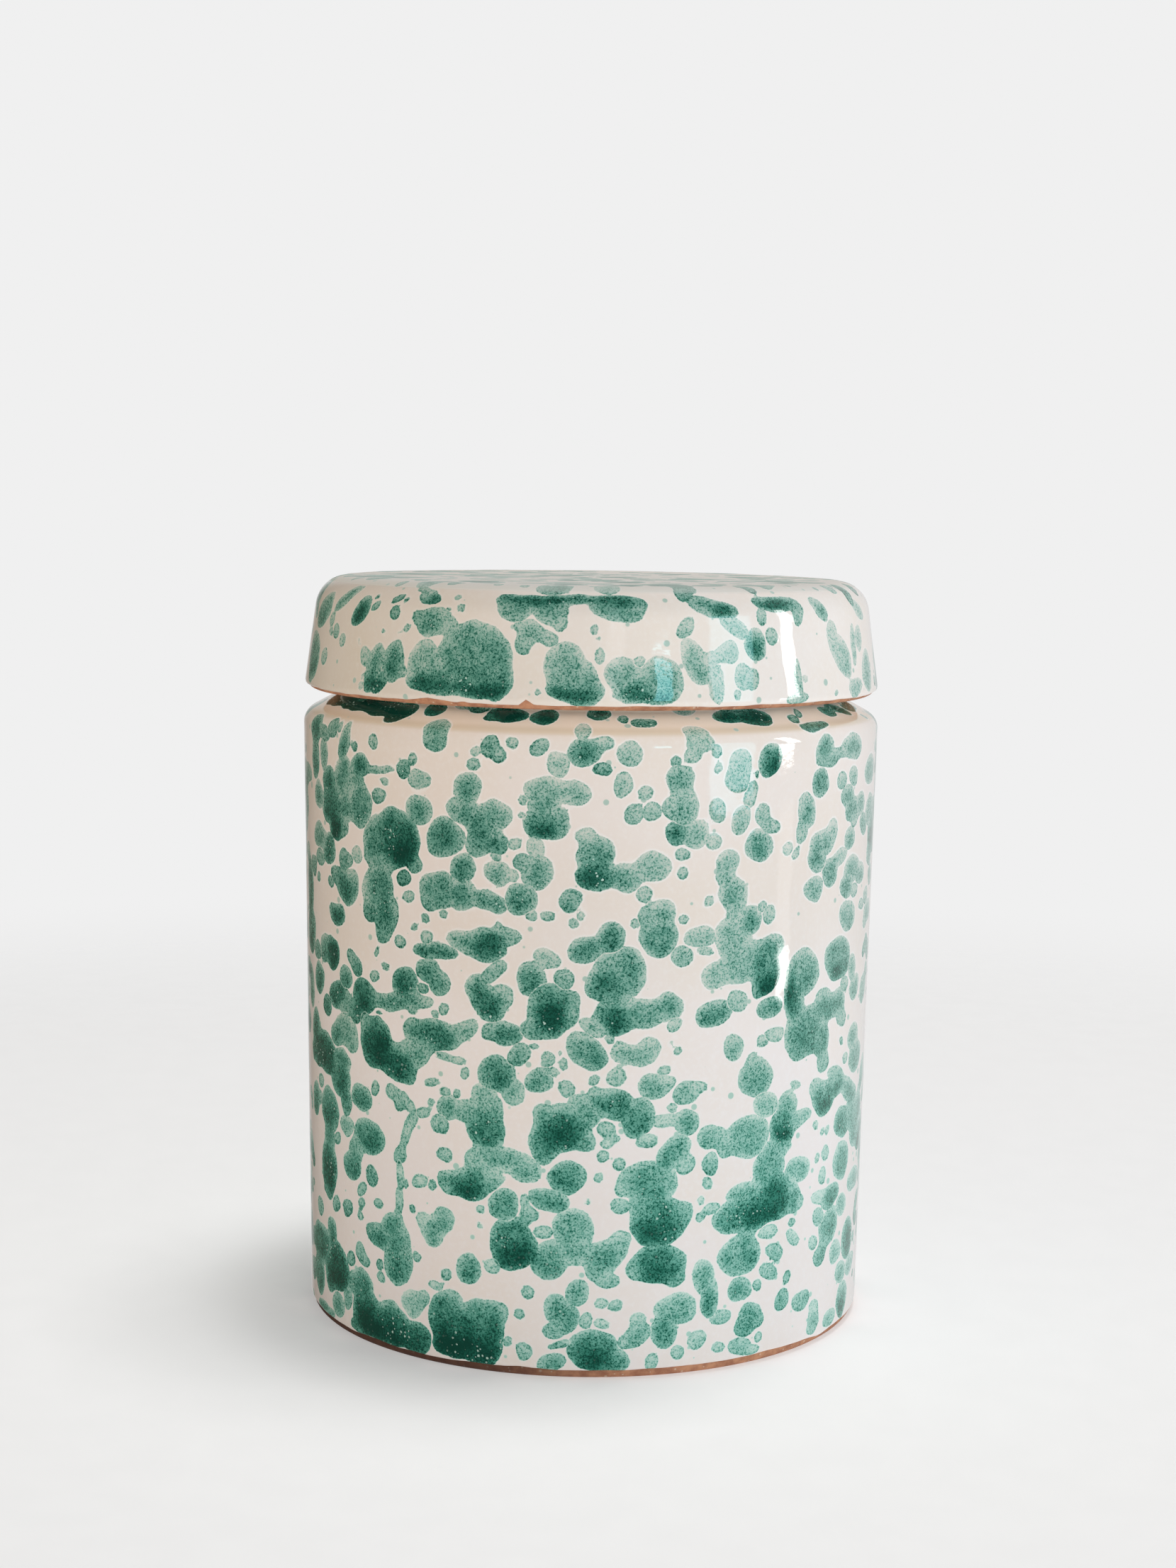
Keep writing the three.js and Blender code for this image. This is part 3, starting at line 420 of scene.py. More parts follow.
class Path:
    """A profile line of the clay: distance along it, radius, height and outward normal at each point."""

    def __init__(self):
        self.points = []
        self.normals = []

    def to(self, radius, height, normal_angle):
        angle = math.radians(normal_angle)
        self.points.append((radius, height))
        self.normals.append((math.cos(angle), math.sin(angle)))
        return self

    def arc(self, centre, radius, start, end, hollow=False, step=ARC_STEP):
        steps = max(2, round(abs(end - start) / step))
        for angle in np.linspace(start, end, steps + 1):
            direction = math.radians(angle)
            place = (centre[0] + radius * math.cos(direction), centre[1] + radius * math.sin(direction))
            self.to(*place, angle + 180 if hollow else angle)
        return self

    def close(self):
        self.points = np.array(self.points)
        self.normals = np.array(self.normals)
        lengths = np.hypot(*np.diff(self.points, axis=0).T)
        self.t = np.concatenate([[0], np.cumsum(lengths)])
        return self

    def at(self, t, lift):
        """Radius and height of the surface a given lift above the clay."""
        radius = np.interp(t, self.t, self.points[:, 0]) + lift * np.interp(t, self.t, self.normals[:, 0])
        height = np.interp(t, self.t, self.points[:, 1]) + lift * np.interp(t, self.t, self.normals[:, 1])
        return radius, height


SHOULDER_ANGLE = 90 - SHOULDER_PITCH
SHOULDER_NORMAL = (math.cos(math.radians(SHOULDER_ANGLE)), math.sin(math.radians(SHOULDER_ANGLE)))
SHOULDER_CENTRE = (WALL_TOP_RADIUS - SHOULDER_ROUND, WALL_TOP)


def centre_at_shoulder(radius, above):
    """The centre, at a given radius, of a circle a given distance above the shoulder's slope."""
    reach = SHOULDER_ROUND + above
    start_radius = SHOULDER_CENTRE[0] + reach * SHOULDER_NORMAL[0]
    start_height = SHOULDER_CENTRE[1] + reach * SHOULDER_NORMAL[1]
    return radius, start_height + (start_radius - radius) * math.tan(math.radians(SHOULDER_PITCH))


# Angles on the roundings of the foot and of the lid's rim at which one profile ends and the next one starts
FOOT_SPLIT = -10
LID_SPLIT = -40
LID_INNER_SPLIT = 215
RIM_TOP = LID_RIM_HEIGHT + LID_SEAT - GLAZE
NECK_INSIDE = NECK_RADIUS - NECK_WALL


def jar_underside():
    """The bare foot, from its middle to the flat ring."""
    path = Path().to(0, RECESS_DEPTH, -90).to(RECESS_RADIUS, RECESS_DEPTH, -90)
    path.to(RECESS_RADIUS + RECESS_BEVEL, 0, -90)
    return path.arc((FOOT_RADIUS - FOOT_ROUND, FOOT_ROUND), FOOT_ROUND, -90, FOOT_SPLIT).close()


def jar_outside():
    """From the rounding of the foot up the wall, the shoulder and the neck to the top of the rim."""
    path = Path().arc((FOOT_RADIUS - FOOT_ROUND, FOOT_ROUND), FOOT_ROUND, FOOT_SPLIT, 0)
    path.arc(SHOULDER_CENTRE, SHOULDER_ROUND, 0, SHOULDER_ANGLE)
    root = centre_at_shoulder(NECK_RADIUS + NECK_FILLET, NECK_FILLET)
    path.arc(root, NECK_FILLET, 180 + SHOULDER_ANGLE, 180, hollow=True)
    return path.arc((NECK_RADIUS - RIM_ROUND, RIM_TOP - RIM_ROUND), RIM_ROUND, 0, 90).close()


def jar_inside():
    """From the top of the rim down the inside to the middle of the floor."""
    rim = (NECK_INSIDE + RIM_ROUND, RIM_TOP - RIM_ROUND)
    path = Path().arc(rim, RIM_ROUND, 90, 180, step=INSIDE_ARC_STEP)
    throat = centre_at_shoulder(NECK_INSIDE + NECK_INNER_ROUND, NECK_INNER_ROUND - SHOULDER_WALL)
    path.arc(throat, NECK_INNER_ROUND, 180, 180 + SHOULDER_ANGLE, step=INSIDE_ARC_STEP)
    under = centre_at_shoulder(
        WALL_TOP_RADIUS - BODY_WALL - SHOULDER_INNER_FILLET, -SHOULDER_INNER_FILLET - SHOULDER_WALL
    )
    path.arc(under, SHOULDER_INNER_FILLET, SHOULDER_ANGLE, 0, hollow=True, step=INSIDE_ARC_STEP)
    corner = (FOOT_RADIUS - BODY_WALL - FLOOR_FILLET, FLOOR + FLOOR_FILLET)
    path.arc(corner, FLOOR_FILLET, 0, -90, hollow=True, step=INSIDE_ARC_STEP)
    return path.to(0, FLOOR, 90).close()


LID_OUTER_RIM = (LID_RIM_RADIUS - LID_RIM_ROUND, LID_RIM_HEIGHT + LID_RIM_ROUND)
LID_INNER_RIM = (LID_BORE_RIM + LID_RIM_INNER_ROUND, LID_RIM_HEIGHT + LID_RIM_INNER_ROUND)


def lid_outside():
    """From the rim's rounding up the skirt, which touches both roundings, and in to the middle of the top."""
    edge = (LID_TOP_RADIUS - LID_TOP_ROUND, LID_RIM_HEIGHT + LID_HEIGHT - LID_TOP_ROUND)
    inward, upward = LID_OUTER_RIM[0] - edge[0], edge[1] - LID_OUTER_RIM[1]
    turned = math.asin((LID_TOP_ROUND - LID_RIM_ROUND) / math.hypot(inward, upward))
    lean = math.degrees(math.atan2(inward, upward) - turned)
    path = Path().arc(LID_OUTER_RIM, LID_RIM_ROUND, LID_SPLIT, lean)
    path.arc(edge, LID_TOP_ROUND, lean, 90)
    return path.to(0, LID_RIM_HEIGHT + LID_HEIGHT, 90).close()


def lid_inside():
    """From the middle of the underside out to the skirt and down to the rim's rounding."""
    underside = LID_RIM_HEIGHT + LID_SEAT + GLAZE
    path = Path().to(0, underside, -90)
    corner = (LID_BORE_TOP - LID_SEAT_FILLET, underside - LID_SEAT_FILLET)
    path.arc(corner, LID_SEAT_FILLET, 90, 0, hollow=True)
    return path.arc(LID_INNER_RIM, LID_RIM_INNER_ROUND, 180, LID_INNER_SPLIT).close()


def lid_rim():
    """The bare rim between the two coats."""
    path = Path().arc(LID_INNER_RIM, LID_RIM_INNER_ROUND, LID_INNER_SPLIT, 270)
    return path.arc(LID_OUTER_RIM, LID_RIM_ROUND, -90, LID_SPLIT).close()


# Surfaces made of rings of points

def turn(columns):
    """Angles round the axis, starting at the front line and going towards +X."""
    return np.arange(columns) * (2 * math.pi / columns)


def join(first, first_count, second, second_count):
    """Faces between two neighbouring rings, which have as many points, twice or half as many, or one."""
    most = max(first_count, second_count)
    few = min(first_count, second_count)
    here = np.arange(most if few == 1 else few)
    after = (here + 1) % len(here)
    if second_count == 1:
        return np.stack([first + here, first + after, second + 0 * here], axis=1).tolist()
    if first_count == 1:
        return np.stack([first + 0 * here, second + after, second + here], axis=1).tolist()
    if first_count == second_count:
        return np.stack([first + here, first + after, second + after, second + here], axis=1).tolist()
    left, middle, right = 2 * here, 2 * here + 1, (2 * here + 2) % (2 * few)
    if first_count > second_count:
        triangles = [
            (first + left, first + middle, second + here),
            (first + middle, second + after, second + here),
            (first + middle, first + right, second + after),
        ]
    else:
        triangles = [
            (first + here, second + middle, second + left),
            (first + here, first + after, second + middle),
            (first + after, second + right, second + middle),
        ]
    return np.concatenate([np.stack(corners, axis=1) for corners in triangles]).tolist()


# Facts kept for each point of a skin: its angle, radius, height, height along the profile for the splashes,
# and row in the unrolled skin
THETA, RADIUS, HEIGHT, ALONG, ROW = range(5)


class Skin:
    """Rings one after another along a profile, with the facts kept for each point."""

    def __init__(self):
        self.rings = []

    def ring(self, path, t, lift, columns, along=0.0, row=0.0):
        """Adds a ring. t and lift are numbers, or arrays with a value for each point."""
        theta = turn(columns)
        radius, height = path.at(t + 0 * theta, lift + 0 * theta)
        self.rings.append((theta, radius, height, along + 0 * theta, row + 0 * theta))

    def gather(self, fact):
        return np.concatenate([ring[fact] for ring in self.rings])

    def points(self):
        theta, radius, height = self.gather(THETA), self.gather(RADIUS), self.gather(HEIGHT)
        return np.stack([radius * np.sin(theta), -radius * np.cos(theta), height], axis=1)

    def mesh(self, name, closed=False):
        """Joins the rings, the last one to the first one too if the skin is closed, and makes the object."""
        counts = [len(ring[THETA]) for ring in self.rings]
        starts = np.concatenate([[0], np.cumsum(counts)[:-1]])
        pairs = list(zip(range(len(counts) - 1), range(1, len(counts))))
        if closed:
            pairs.append((len(counts) - 1, 0))
        faces = []
        for one, other in pairs:
            if counts[one] == counts[other] == 1:
                continue
            faces += join(starts[one], counts[one], starts[other], counts[other])
        mesh = bpy.data.meshes.new(name)
        mesh.from_pydata((self.points() * MM).tolist(), [], faces)
        mesh.polygons.foreach_set("use_smooth", np.ones(len(mesh.polygons), dtype=bool))
        self.unwrap(mesh, self.gather(THETA) / (2 * math.pi), self.gather(ROW))
        mesh.update()
        piece = bpy.data.objects.new(name, mesh)
        bpy.context.scene.collection.objects.link(piece)
        return piece

    def unwrap(self, mesh, across, up):
        """Unrolls the skin, one turn wide."""
        corners = np.empty(len(mesh.loops), dtype=np.int32)
        mesh.loops.foreach_get("vertex_index", corners)
        starts = np.empty(len(mesh.polygons), dtype=np.int32)
        mesh.polygons.foreach_get("loop_start", starts)
        u = across[corners]
        sizes = np.diff(np.append(starts, len(corners)))
        widest = np.repeat(np.maximum.reduceat(u, starts), sizes)
        u = np.where(widest - u > 0.5, u + 1, u)
        layer = mesh.uv_layers.new(name="OFBake")
        layer.uv.foreach_set("vector", np.stack([u, up[corners]], axis=1).ravel())


def stops(path, step=HIDDEN_STEP):
    """Distances along a profile, at each of its points and no further apart than the step."""
    found = [path.t[:1]]
    for start, end in zip(path.t[:-1], path.t[1:]):
        pieces = max(1, math.ceil((end - start) / step - SLACK))
        found.append(np.linspace(start, end, pieces + 1)[1:])
    return np.concatenate(found)


# Slow waves in the thickness of the glaze: turns round the jar, length along it, phase and share
WAVES = [
    (5, 71, 0.4, 0.3), (11, -43, 2.1, 0.26), (18, 29, 4.4, 0.2), (27, -19, 1.2, 0.14), (41, 12, 5.3, 0.1),
]
WAVE_DEPTH = 0.10
# Width of the rounded edge of the glaze, and the shares of it at which there are rings
BEAD = 0.8
BEAD_SHARES = (0, 0.05, 0.15, 0.3, 0.5, 0.75)
# Distance from the edge over which its wandering fades out
EDGE_FADE = 6.0


def sink(theta, along):
    """How far the glaze lies below its full thickness."""
    total = sum(share * np.sin(turns * theta + along * 2 * math.pi / length + phase)
                for turns, length, phase, share in WAVES)
    return WAVE_DEPTH * (0.5 + 0.5 * total)


def bead(distance):
    """Thickness of the glaze at a distance from its edge, where it rounds off."""
    rise = np.clip(distance / BEAD, 0, 1)
    return BACK_GAP + (GLAZE - BACK_GAP) * np.sqrt(1 - (1 - rise) ** 2)


# Edges of the glaze: distance along the profile, waves in them given by turns, phase and size, and chips
# given by place, half width and depth
FOOT_WANDER = [(3, 0.8, 0.10), (7, 2.9, 0.08), (13, 5.1, 0.06), (29, 0.4, 0.05), (53, 3.3, 0.03)]
FOOT_CHIPS = [
    (63, 6.0, -0.42), (-14, 3.0, 0.25), (24, 5.0, 0.18), (-52, 7.0, 0.2), (140, 9.0, 0.3), (-150, 6.0, -0.3),
]
FOOT_EDGE = (0.55, FOOT_WANDER, FOOT_CHIPS)
LID_WANDER = [(4, 1.9, 0.06), (9, 0.3, 0.06), (17, 4.0, 0.05), (37, 2.2, 0.04), (61, 5.5, 0.03)]
LID_CHIPS = [
    (-36, 6.0, 0.55), (-13.5, 1.7, 1.15), (-27.5, 1.5, 0.35), (38, 4.0, 0.25), (120, 2.2, 0.8),
    (-165, 5.0, 0.5),
]
LID_EDGE = (0.33, LID_WANDER, LID_CHIPS)
INNER_EDGE = (0.15, LID_WANDER, [])
# Distance of the inner coat's edge from the end of its profile, before it wanders
INNER_END = 0.3
LEAST_EDGE = 0.02
# How far the back of a coat stays behind its edge
FOOT_INSET = 0.5
LID_INSET = 0.3


def edge_line(columns, nominal, wander, chips):
    """Where the glaze ends on the profile, for each point round a ring."""
    theta = turn(columns)
    line = nominal + sum(size * np.sin(turns * theta + phase) for turns, phase, size in wander)
    for place, half_width, depth in chips:
        away = (theta * GIRTH_RADIUS - place + GIRTH / 2) % GIRTH - GIRTH / 2
        line = line + depth * np.clip(1 - np.abs(away) / half_width, 0, 1)
    return np.maximum(line, LEAST_EDGE)


# Splashes

class Splatter:
    """Signed distance to the nearest splash edge, ink and pooled ink at each point of a skin."""

    def __init__(self, skin):
        self.theta = skin.gather(THETA)
        self.points = skin.points()
        count = len(self.theta)
        self.weight = np.zeros((LAYERS, count))
        self.share = np.zeros((LAYERS, count))
        self.inked = np.zeros((LAYERS, count))
        self.small = np.zeros((LAYERS, count))
        self.pooled = np.zeros(count)
        rng = np.random.default_rng(SEED)
        self.warps = [self.wander(rng), self.wander(rng)]

    def wander(self, rng):
        """A smooth random shift of the points, which makes the splashes uneven."""
        total = np.zeros(len(self.points))
        for length in WARP_LENGTHS:
            direction = rng.normal(size=3)
            direction *= 2 * math.pi / length / np.linalg.norm(direction)
            total += length * np.sin(self.points @ direction + rng.uniform(0, 2 * math.pi))
        return total * WARP_SHARE

    def throw(self, across, up, splashes, pools, inside, girth=None):
        """Adds splashes on a chart. inside marks the points the chart is used for."""
        across = across + self.warps[0]
        up = up + self.warps[1]
        chosen = np.flatnonzero(inside)
        across, up = across[chosen], up[chosen]

        def offsets(place, height, reach):
            away = across - place
            if girth:
                away = (away + girth / 2) % girth - girth / 2
            near = np.flatnonzero((np.abs(away) < reach) & (np.abs(up - height) < reach))
            return near, away[near], up[near] - height

        for splash, layer in zip(splashes, layers_of(splashes, girth)):
            place, height, half_width, half_height, lean, ink = splash
            near, x, y = offsets(place, height, max(half_width, half_height) + REACH)
            angle = math.radians(lean)
            u = (x * math.cos(angle) + y * math.sin(angle) + OFF_MIDDLE) / half_width
            v = (y * math.cos(angle) - x * math.sin(angle)) / half_height
            scaled = np.hypot(u, v)
            distance = scaled * (scaled - 1) / np.hypot(u / half_width, v / half_height)
            self.weight[layer, chosen[near]] += np.exp(-distance / MERGE)
            share = np.exp(-distance / INK_BLEND)
            self.share[layer, chosen[near]] += share
            lower = np.clip(-y / half_height, -1, 1)
            self.inked[layer, chosen[near]] += share * ink * (1 + INK_FALL * lower)
            tiny = np.interp(half_width * half_height, (SMALL[0] ** 2, SMALL[1] ** 2), (1, 0))
            self.small[layer, chosen[near]] += share * tiny
        for place, height, half_width, half_height, ink in pools:
            near, x, y = offsets(place, height, POOL_REACH * max(half_width, half_height))
            spread = (x / half_width) ** 2 + (y / half_height) ** 2
            self.pooled[chosen[near]] += ink * np.exp(-spread ** POOL_FALL)

    def store(self, piece, glazed):
        """Writes the fields to the piece as point attributes. glazed marks the decorated side."""
        def write(name, values):
            attribute = piece.data.attributes.new(name, "FLOAT", "POINT")
            attribute.data.foreach_set("value", values.astype(np.float32))

        for layer in range(LAYERS):
            weight = self.weight[layer]
            reached = weight > math.exp(-NO_SPLASH / MERGE)
            safe = np.where(reached, weight, 1)
            share = np.where(reached, self.share[layer], 1)
            write(f"edge_{layer}", np.where(reached, -MERGE * np.log(safe), NO_SPLASH))
            write(f"ink_{layer}", np.where(reached, self.inked[layer] / share, 1))
            write(f"small_{layer}", np.where(reached, self.small[layer] / share, 0))
        write("pool", self.pooled)
        write("splashed", glazed.astype(float))


def layers_of(splashes, girth):
    """A layer for each splash. Splashes that run together share one, and near neighbours mostly do not."""
    count = len(splashes)
    places = np.array([splash[:4] for splash in splashes])
    group = list(range(count))
    near = []

    def leader(index):
        while group[index] != index:
            index = group[index]
        return index

    for index in range(1, count):
        away = np.abs(places[:index, 0] - places[index, 0])
        if girth:
            away = np.minimum(away % girth, girth - away % girth)
        across = away / (places[:index, 2] + places[index, 2])
        up = (places[:index, 1] - places[index, 1]) / (places[:index, 3] + places[index, 3])
        span = across ** 2 + up ** 2
        for other in np.flatnonzero(span < MERGE_SPAN):
            group[leader(index)] = leader(other)
        near += [(index, other) for other in np.flatnonzero(span < NEAR_SPAN)]
    neighbours = {}
    for one, other in near:
        one, other = leader(one), leader(other)
        if one != other:
            neighbours.setdefault(one, []).append(other)
            neighbours.setdefault(other, []).append(one)
    layers = {}
    for index in sorted(range(count), key=lambda i: -len(neighbours.get(leader(i), []))):
        head = leader(index)
        if head not in layers:
            taken = [layers.get(other) for other in neighbours.get(head, [])]
            layers[head] = min(range(LAYERS), key=taken.count)
    return [layers[leader(index)] for index in range(count)]


# Random splashes: share of all, least and greatest half width
SPLASH_SIZES = [(0.44, 0.6, 1.5), (0.36, 1.5, 3.0), (0.20, 3.0, 5.0)]
FLATNESS = (0.62, 1.1)
GREATEST_LEAN = 45
# Places tried for each splash, of which the one with most room is taken, and the room beside no others
TRIES = 3
ALL_ROOM = 99.0
# Ink of splashes up to a half width, and of the larger ones
LIGHT_WIDTH = 1.6
LIGHT_INKS = (0.7, 1.0)
FULL_INKS = (0.8, 1.7)
# Lobes: half width above which a splash has them, how many at most, and shares of the splash
LOBED = 1.9
MOST_LOBES = 2
LOBE_APART = (0.8, 1.25)
LOBE_SIZE = (0.45, 0.8)
LOBE_FLATNESS = (0.7, 1.1)
LOBE_INK = 0.9
# Pools: half width above which a splash may have one, the chance of it, its ink, and shares of the splash
POOLED = 2.6
POOL_CHANCE = 0.45
POOL_INKS = (0.7, 1.6)
POOL_DROP = 0.35
POOL_WIDTH = 0.6
POOL_HEIGHT = 0.5


def scatter(rng, count, spot, girth=None):
    """Random splashes, the larger ones with lobes, and their pools. spot gives a random place and height."""
    splashes, pools = [], []
    shares = [share for share, *_ in SPLASH_SIZES]
    for _ in range(count):
        _, least, greatest = SPLASH_SIZES[rng.choice(len(SPLASH_SIZES), p=shares)]
        half_width = rng.uniform(least, greatest)
        half_height = half_width * rng.uniform(*FLATNESS)
        best = None
        for _ in range(TRIES):
            place, height = spot(rng)
            gap = ALL_ROOM
            for other in splashes:
                away = abs(place - other[0])
                if girth:
                    away = min(away, girth - away)
                gap = min(gap, math.hypot(away, height - other[1]) - half_width - other[2])
            if best is None or gap > best[0]:
                best = (gap, place, height)
        _, place, height = best
        ink = rng.uniform(*(LIGHT_INKS if half_width < LIGHT_WIDTH else FULL_INKS))
        lean = rng.uniform(-GREATEST_LEAN, GREATEST_LEAN)
        splashes.append((place, height, half_width, half_height, lean, ink))
        for _ in range(rng.integers(0, MOST_LOBES + 1) if half_width > LOBED else 0):
            turned = rng.uniform(0, 2 * math.pi)
            apart = half_width * rng.uniform(*LOBE_APART)
            size = half_width * rng.uniform(*LOBE_SIZE)
            side = place + apart * math.cos(turned)
            level = height + apart * math.sin(turned)
            flattened = size * rng.uniform(*LOBE_FLATNESS)
            lean = rng.uniform(-GREATEST_LEAN, GREATEST_LEAN)
            splashes.append((side, level, size, flattened, lean, ink * LOBE_INK))
        if half_width > POOLED and rng.random() < POOL_CHANCE:
            depth = rng.uniform(*POOL_INKS)
            low = height - POOL_DROP * half_height
            pools.append((place, low, POOL_WIDTH * half_width, POOL_HEIGHT * half_height, depth))
    return splashes, pools


def leaning(entries):
    """Listed splashes, each with a lean."""
    return [entry if len(entry) == 6 else (*entry[:4], 0, entry[4]) for entry in entries]


def on_back(heights):
    """A function that gives random places on the back, between two heights."""
    def spot(rng):
        place = rng.uniform(BACK_EDGE, GIRTH - BACK_EDGE)
        return place, rng.uniform(*heights)
    return spot


# Rings of a coat

def add_face(skin, path, distances, columns_at, edge, start, rows):
    """The free face of a coat, from its rounded edge along a profile. start is the profile's first height."""
    rounding = [BEAD * share for share in BEAD_SHARES]
    for t in [*rounding, *distances]:
        columns = columns_at(t)
        shifted = t + edge_line(columns, *edge) * max(0.0, 1 - t / EDGE_FADE)
        along = shifted + start
        lift = bead(t) - sink(turn(columns), along) * min(1.0, t / BEAD)
        skin.ring(path, shifted, lift, columns, along, 0.02 + rows * t / path.t[-1])


def add_plain(skin, path, distances, lift, row, rows):
    """Coarse rings along a profile, all of one lift."""
    for t in distances:
        skin.ring(path, t, lift, COARSE, row=row + rows * t / path.t[-1])


def add_back(skin, path, edge, inset, rows):
    """The back of a coat, against the clay, along the same profile to its edge again."""
    far = [t for t in stops(path)[-2::-1] if t > EDGE_FADE]
    add_plain(skin, path, far, BACK_GAP, 0.98, -rows)
    skin.ring(path, EDGE_FADE, BACK_GAP, COARSE, row=0.975)
    skin.ring(path, EDGE_FADE / 2, BACK_GAP, MIDDLE, row=0.98)
    skin.ring(path, edge_line(FINE, *edge) + inset, BACK_GAP, FINE, row=0.985)


# Jar

OUTSIDE = jar_outside()
INSIDE = jar_inside()
UNDERSIDE = jar_underside()
FOOT_TO_WALL = OUTSIDE.t[np.argmax(OUTSIDE.points[:, 1] >= FOOT_ROUND - SLACK)]
SHOULDER_TOP = np.interp(LID_RIM_HEIGHT, OUTSIDE.points[:, 1], OUTSIDE.t)


def outside_columns(t):
    return FINE if t < SHOULDER_TOP else MIDDLE


def neck_spot(rng):
    """A random place on the neck, and on the slope below it at the back."""
    place = rng.uniform(0, GIRTH)
    lowest = NECK_LOWEST_BACK if BACK_EDGE < place < GIRTH - BACK_EDGE else NECK_LOWEST
    return place, lowest + (NECK_HIGHEST - lowest) * rng.random() ** 2


def thinned(splashes):
    """The splashes with the ink that belongs to their places, and with more on the slope as painted shade
    under the lid.
    """
    found = []
    for *shape, ink in splashes:
        place, height = shape[:2]
        # On the slope the ink is raised as painted shade under the lid
        share = np.interp(height, THIN_HEIGHTS, (1, THIN_INK)) if height < SLOPE_HEIGHT else SLOPE_SHADE_INK
        left = np.interp(place, THICK_PLACES, (1, 0)) * np.interp(height, THICK_HEIGHTS, (0, 1))
        middle = np.interp(place, LIGHT_PLACES, (0, 1)) * np.interp(height, LIGHT_HEIGHTS, (0, 1, 1, 0))
        found.append((*shape, ink * share * (1 + THICK_INK * left) * (1 - LIGHT_INK * middle)))
    return found


def make_jar_coat():
    skin = Skin()
    wall = [t for t in stops(OUTSIDE, WALL_STEP) if BEAD < t < SHOULDER_TOP]
    neck = [t for t in stops(OUTSIDE, NECK_STEP) if t >= SHOULDER_TOP]
    start = FOOT_ROUND - FOOT_TO_WALL
    add_face(skin, OUTSIDE, [*wall, *neck], outside_columns, FOOT_EDGE, start, rows=0.62)
    decorated = len(skin.gather(THETA))
    for t in stops(INSIDE, INSIDE_STEP)[1:-1]:
        lift = GLAZE - sink(turn(COARSE), t)
        skin.ring(INSIDE, t, lift, COARSE, row=0.66 + 0.18 * t / INSIDE.t[-1])
    skin.ring(INSIDE, INSIDE.t[-1], GLAZE, 1, row=0.84)
    skin.ring(INSIDE, INSIDE.t[-1], BACK_GAP, 1, row=0.86)
    add_plain(skin, INSIDE, stops(INSIDE)[-2::-1], BACK_GAP, 0.92, -0.06)
    add_back(skin, OUTSIDE, FOOT_EDGE, FOOT_INSET, rows=0.06)
    piece = skin.mesh("jar_coat", closed=True)

    rng = np.random.default_rng(SEED + 1)
    back_splashes, back_pools = scatter(rng, BACK_COUNT, on_back(BACK_HEIGHTS), GIRTH)
    neck_splashes, neck_pools = scatter(rng, NECK_COUNT, neck_spot, GIRTH)
    splashes = thinned(leaning(JAR_SPLASHES) + back_splashes) + neck_splashes
    pools = JAR_POOLS + back_pools + neck_pools
    glazed = np.arange(len(skin.gather(THETA))) < decorated
    splatter = Splatter(skin)
    splatter.throw(splatter.theta * GIRTH_RADIUS, skin.gather(ALONG), splashes, pools, glazed, GIRTH)
    splatter.store(piece, glazed)
    return piece


def make_jar_clay():
    skin = Skin()
    skin.ring(UNDERSIDE, 0, 0, 1, row=0.02)
    add_plain(skin, UNDERSIDE, UNDERSIDE.t[1:], 0, 0.02, 0.3)
    add_plain(skin, OUTSIDE, stops(OUTSIDE)[1:], 0, 0.34, 0.3)
    add_plain(skin, INSIDE, stops(INSIDE)[1:-1], 0, 0.66, 0.3)
    skin.ring(INSIDE, INSIDE.t[-1], 0, 1, row=0.98)
    return skin.mesh("jar_clay")


# Lid

LID_OUTSIDE = lid_outside()
LID_INSIDE = lid_inside()
LID_RIM = lid_rim()
LID_LENGTH = LID_OUTSIDE.t[-1]
LID_SKIRT_FOOT = np.interp(LID_OUTER_RIM[1], LID_OUTSIDE.points[:, 1], LID_OUTSIDE.t)
LID_START = LID_OUTER_RIM[1] - LID_SKIRT_FOOT
# Points in a ring by its distance from the middle of the top, and the least such distance of a ring
LID_RINGS = [(40, FINE), (20, MIDDLE), (9, COARSE), (0, COARSE // 2)]
LID_LAST_RING = 1.5
# Listed heights are those of the glaze, which stands higher than the clay above this height, and fully so
# after this span
GLAZE_HEIGHT = 159
GLAZE_SPAN = 7
# How far inside the top's edge its random splashes stay, and how far past it they are worked out
TOP_INSET = 3.0
TOP_REACH = 6.0


def lid_columns(t):
    """Fewer points in a ring towards the middle of the lid."""
    return next(columns for least, columns in LID_RINGS if LID_LENGTH - t > least)


def top_spot(rng):
    """A random place on the top of the lid."""
    distance = (LID_TOP_RADIUS - TOP_INSET) * math.sqrt(rng.random())
    angle = rng.uniform(0, 2 * math.pi)
    return distance * math.sin(angle), -distance * math.cos(angle)


def laid(entries):
    """Splashes or pools of the lid with their heights along the profile and the ink of their places."""
    found = []
    for place, height, *shape, ink in entries:
        share = np.interp(place, LID_PLACES, LID_SHARES)
        clay_height = height - GLAZE * max(0, height - GLAZE_HEIGHT) / GLAZE_SPAN
        along = np.interp(clay_height, LID_OUTSIDE.points[:, 1], LID_OUTSIDE.t) + LID_START
        found.append((place, float(along), *shape, ink * share))
    return found


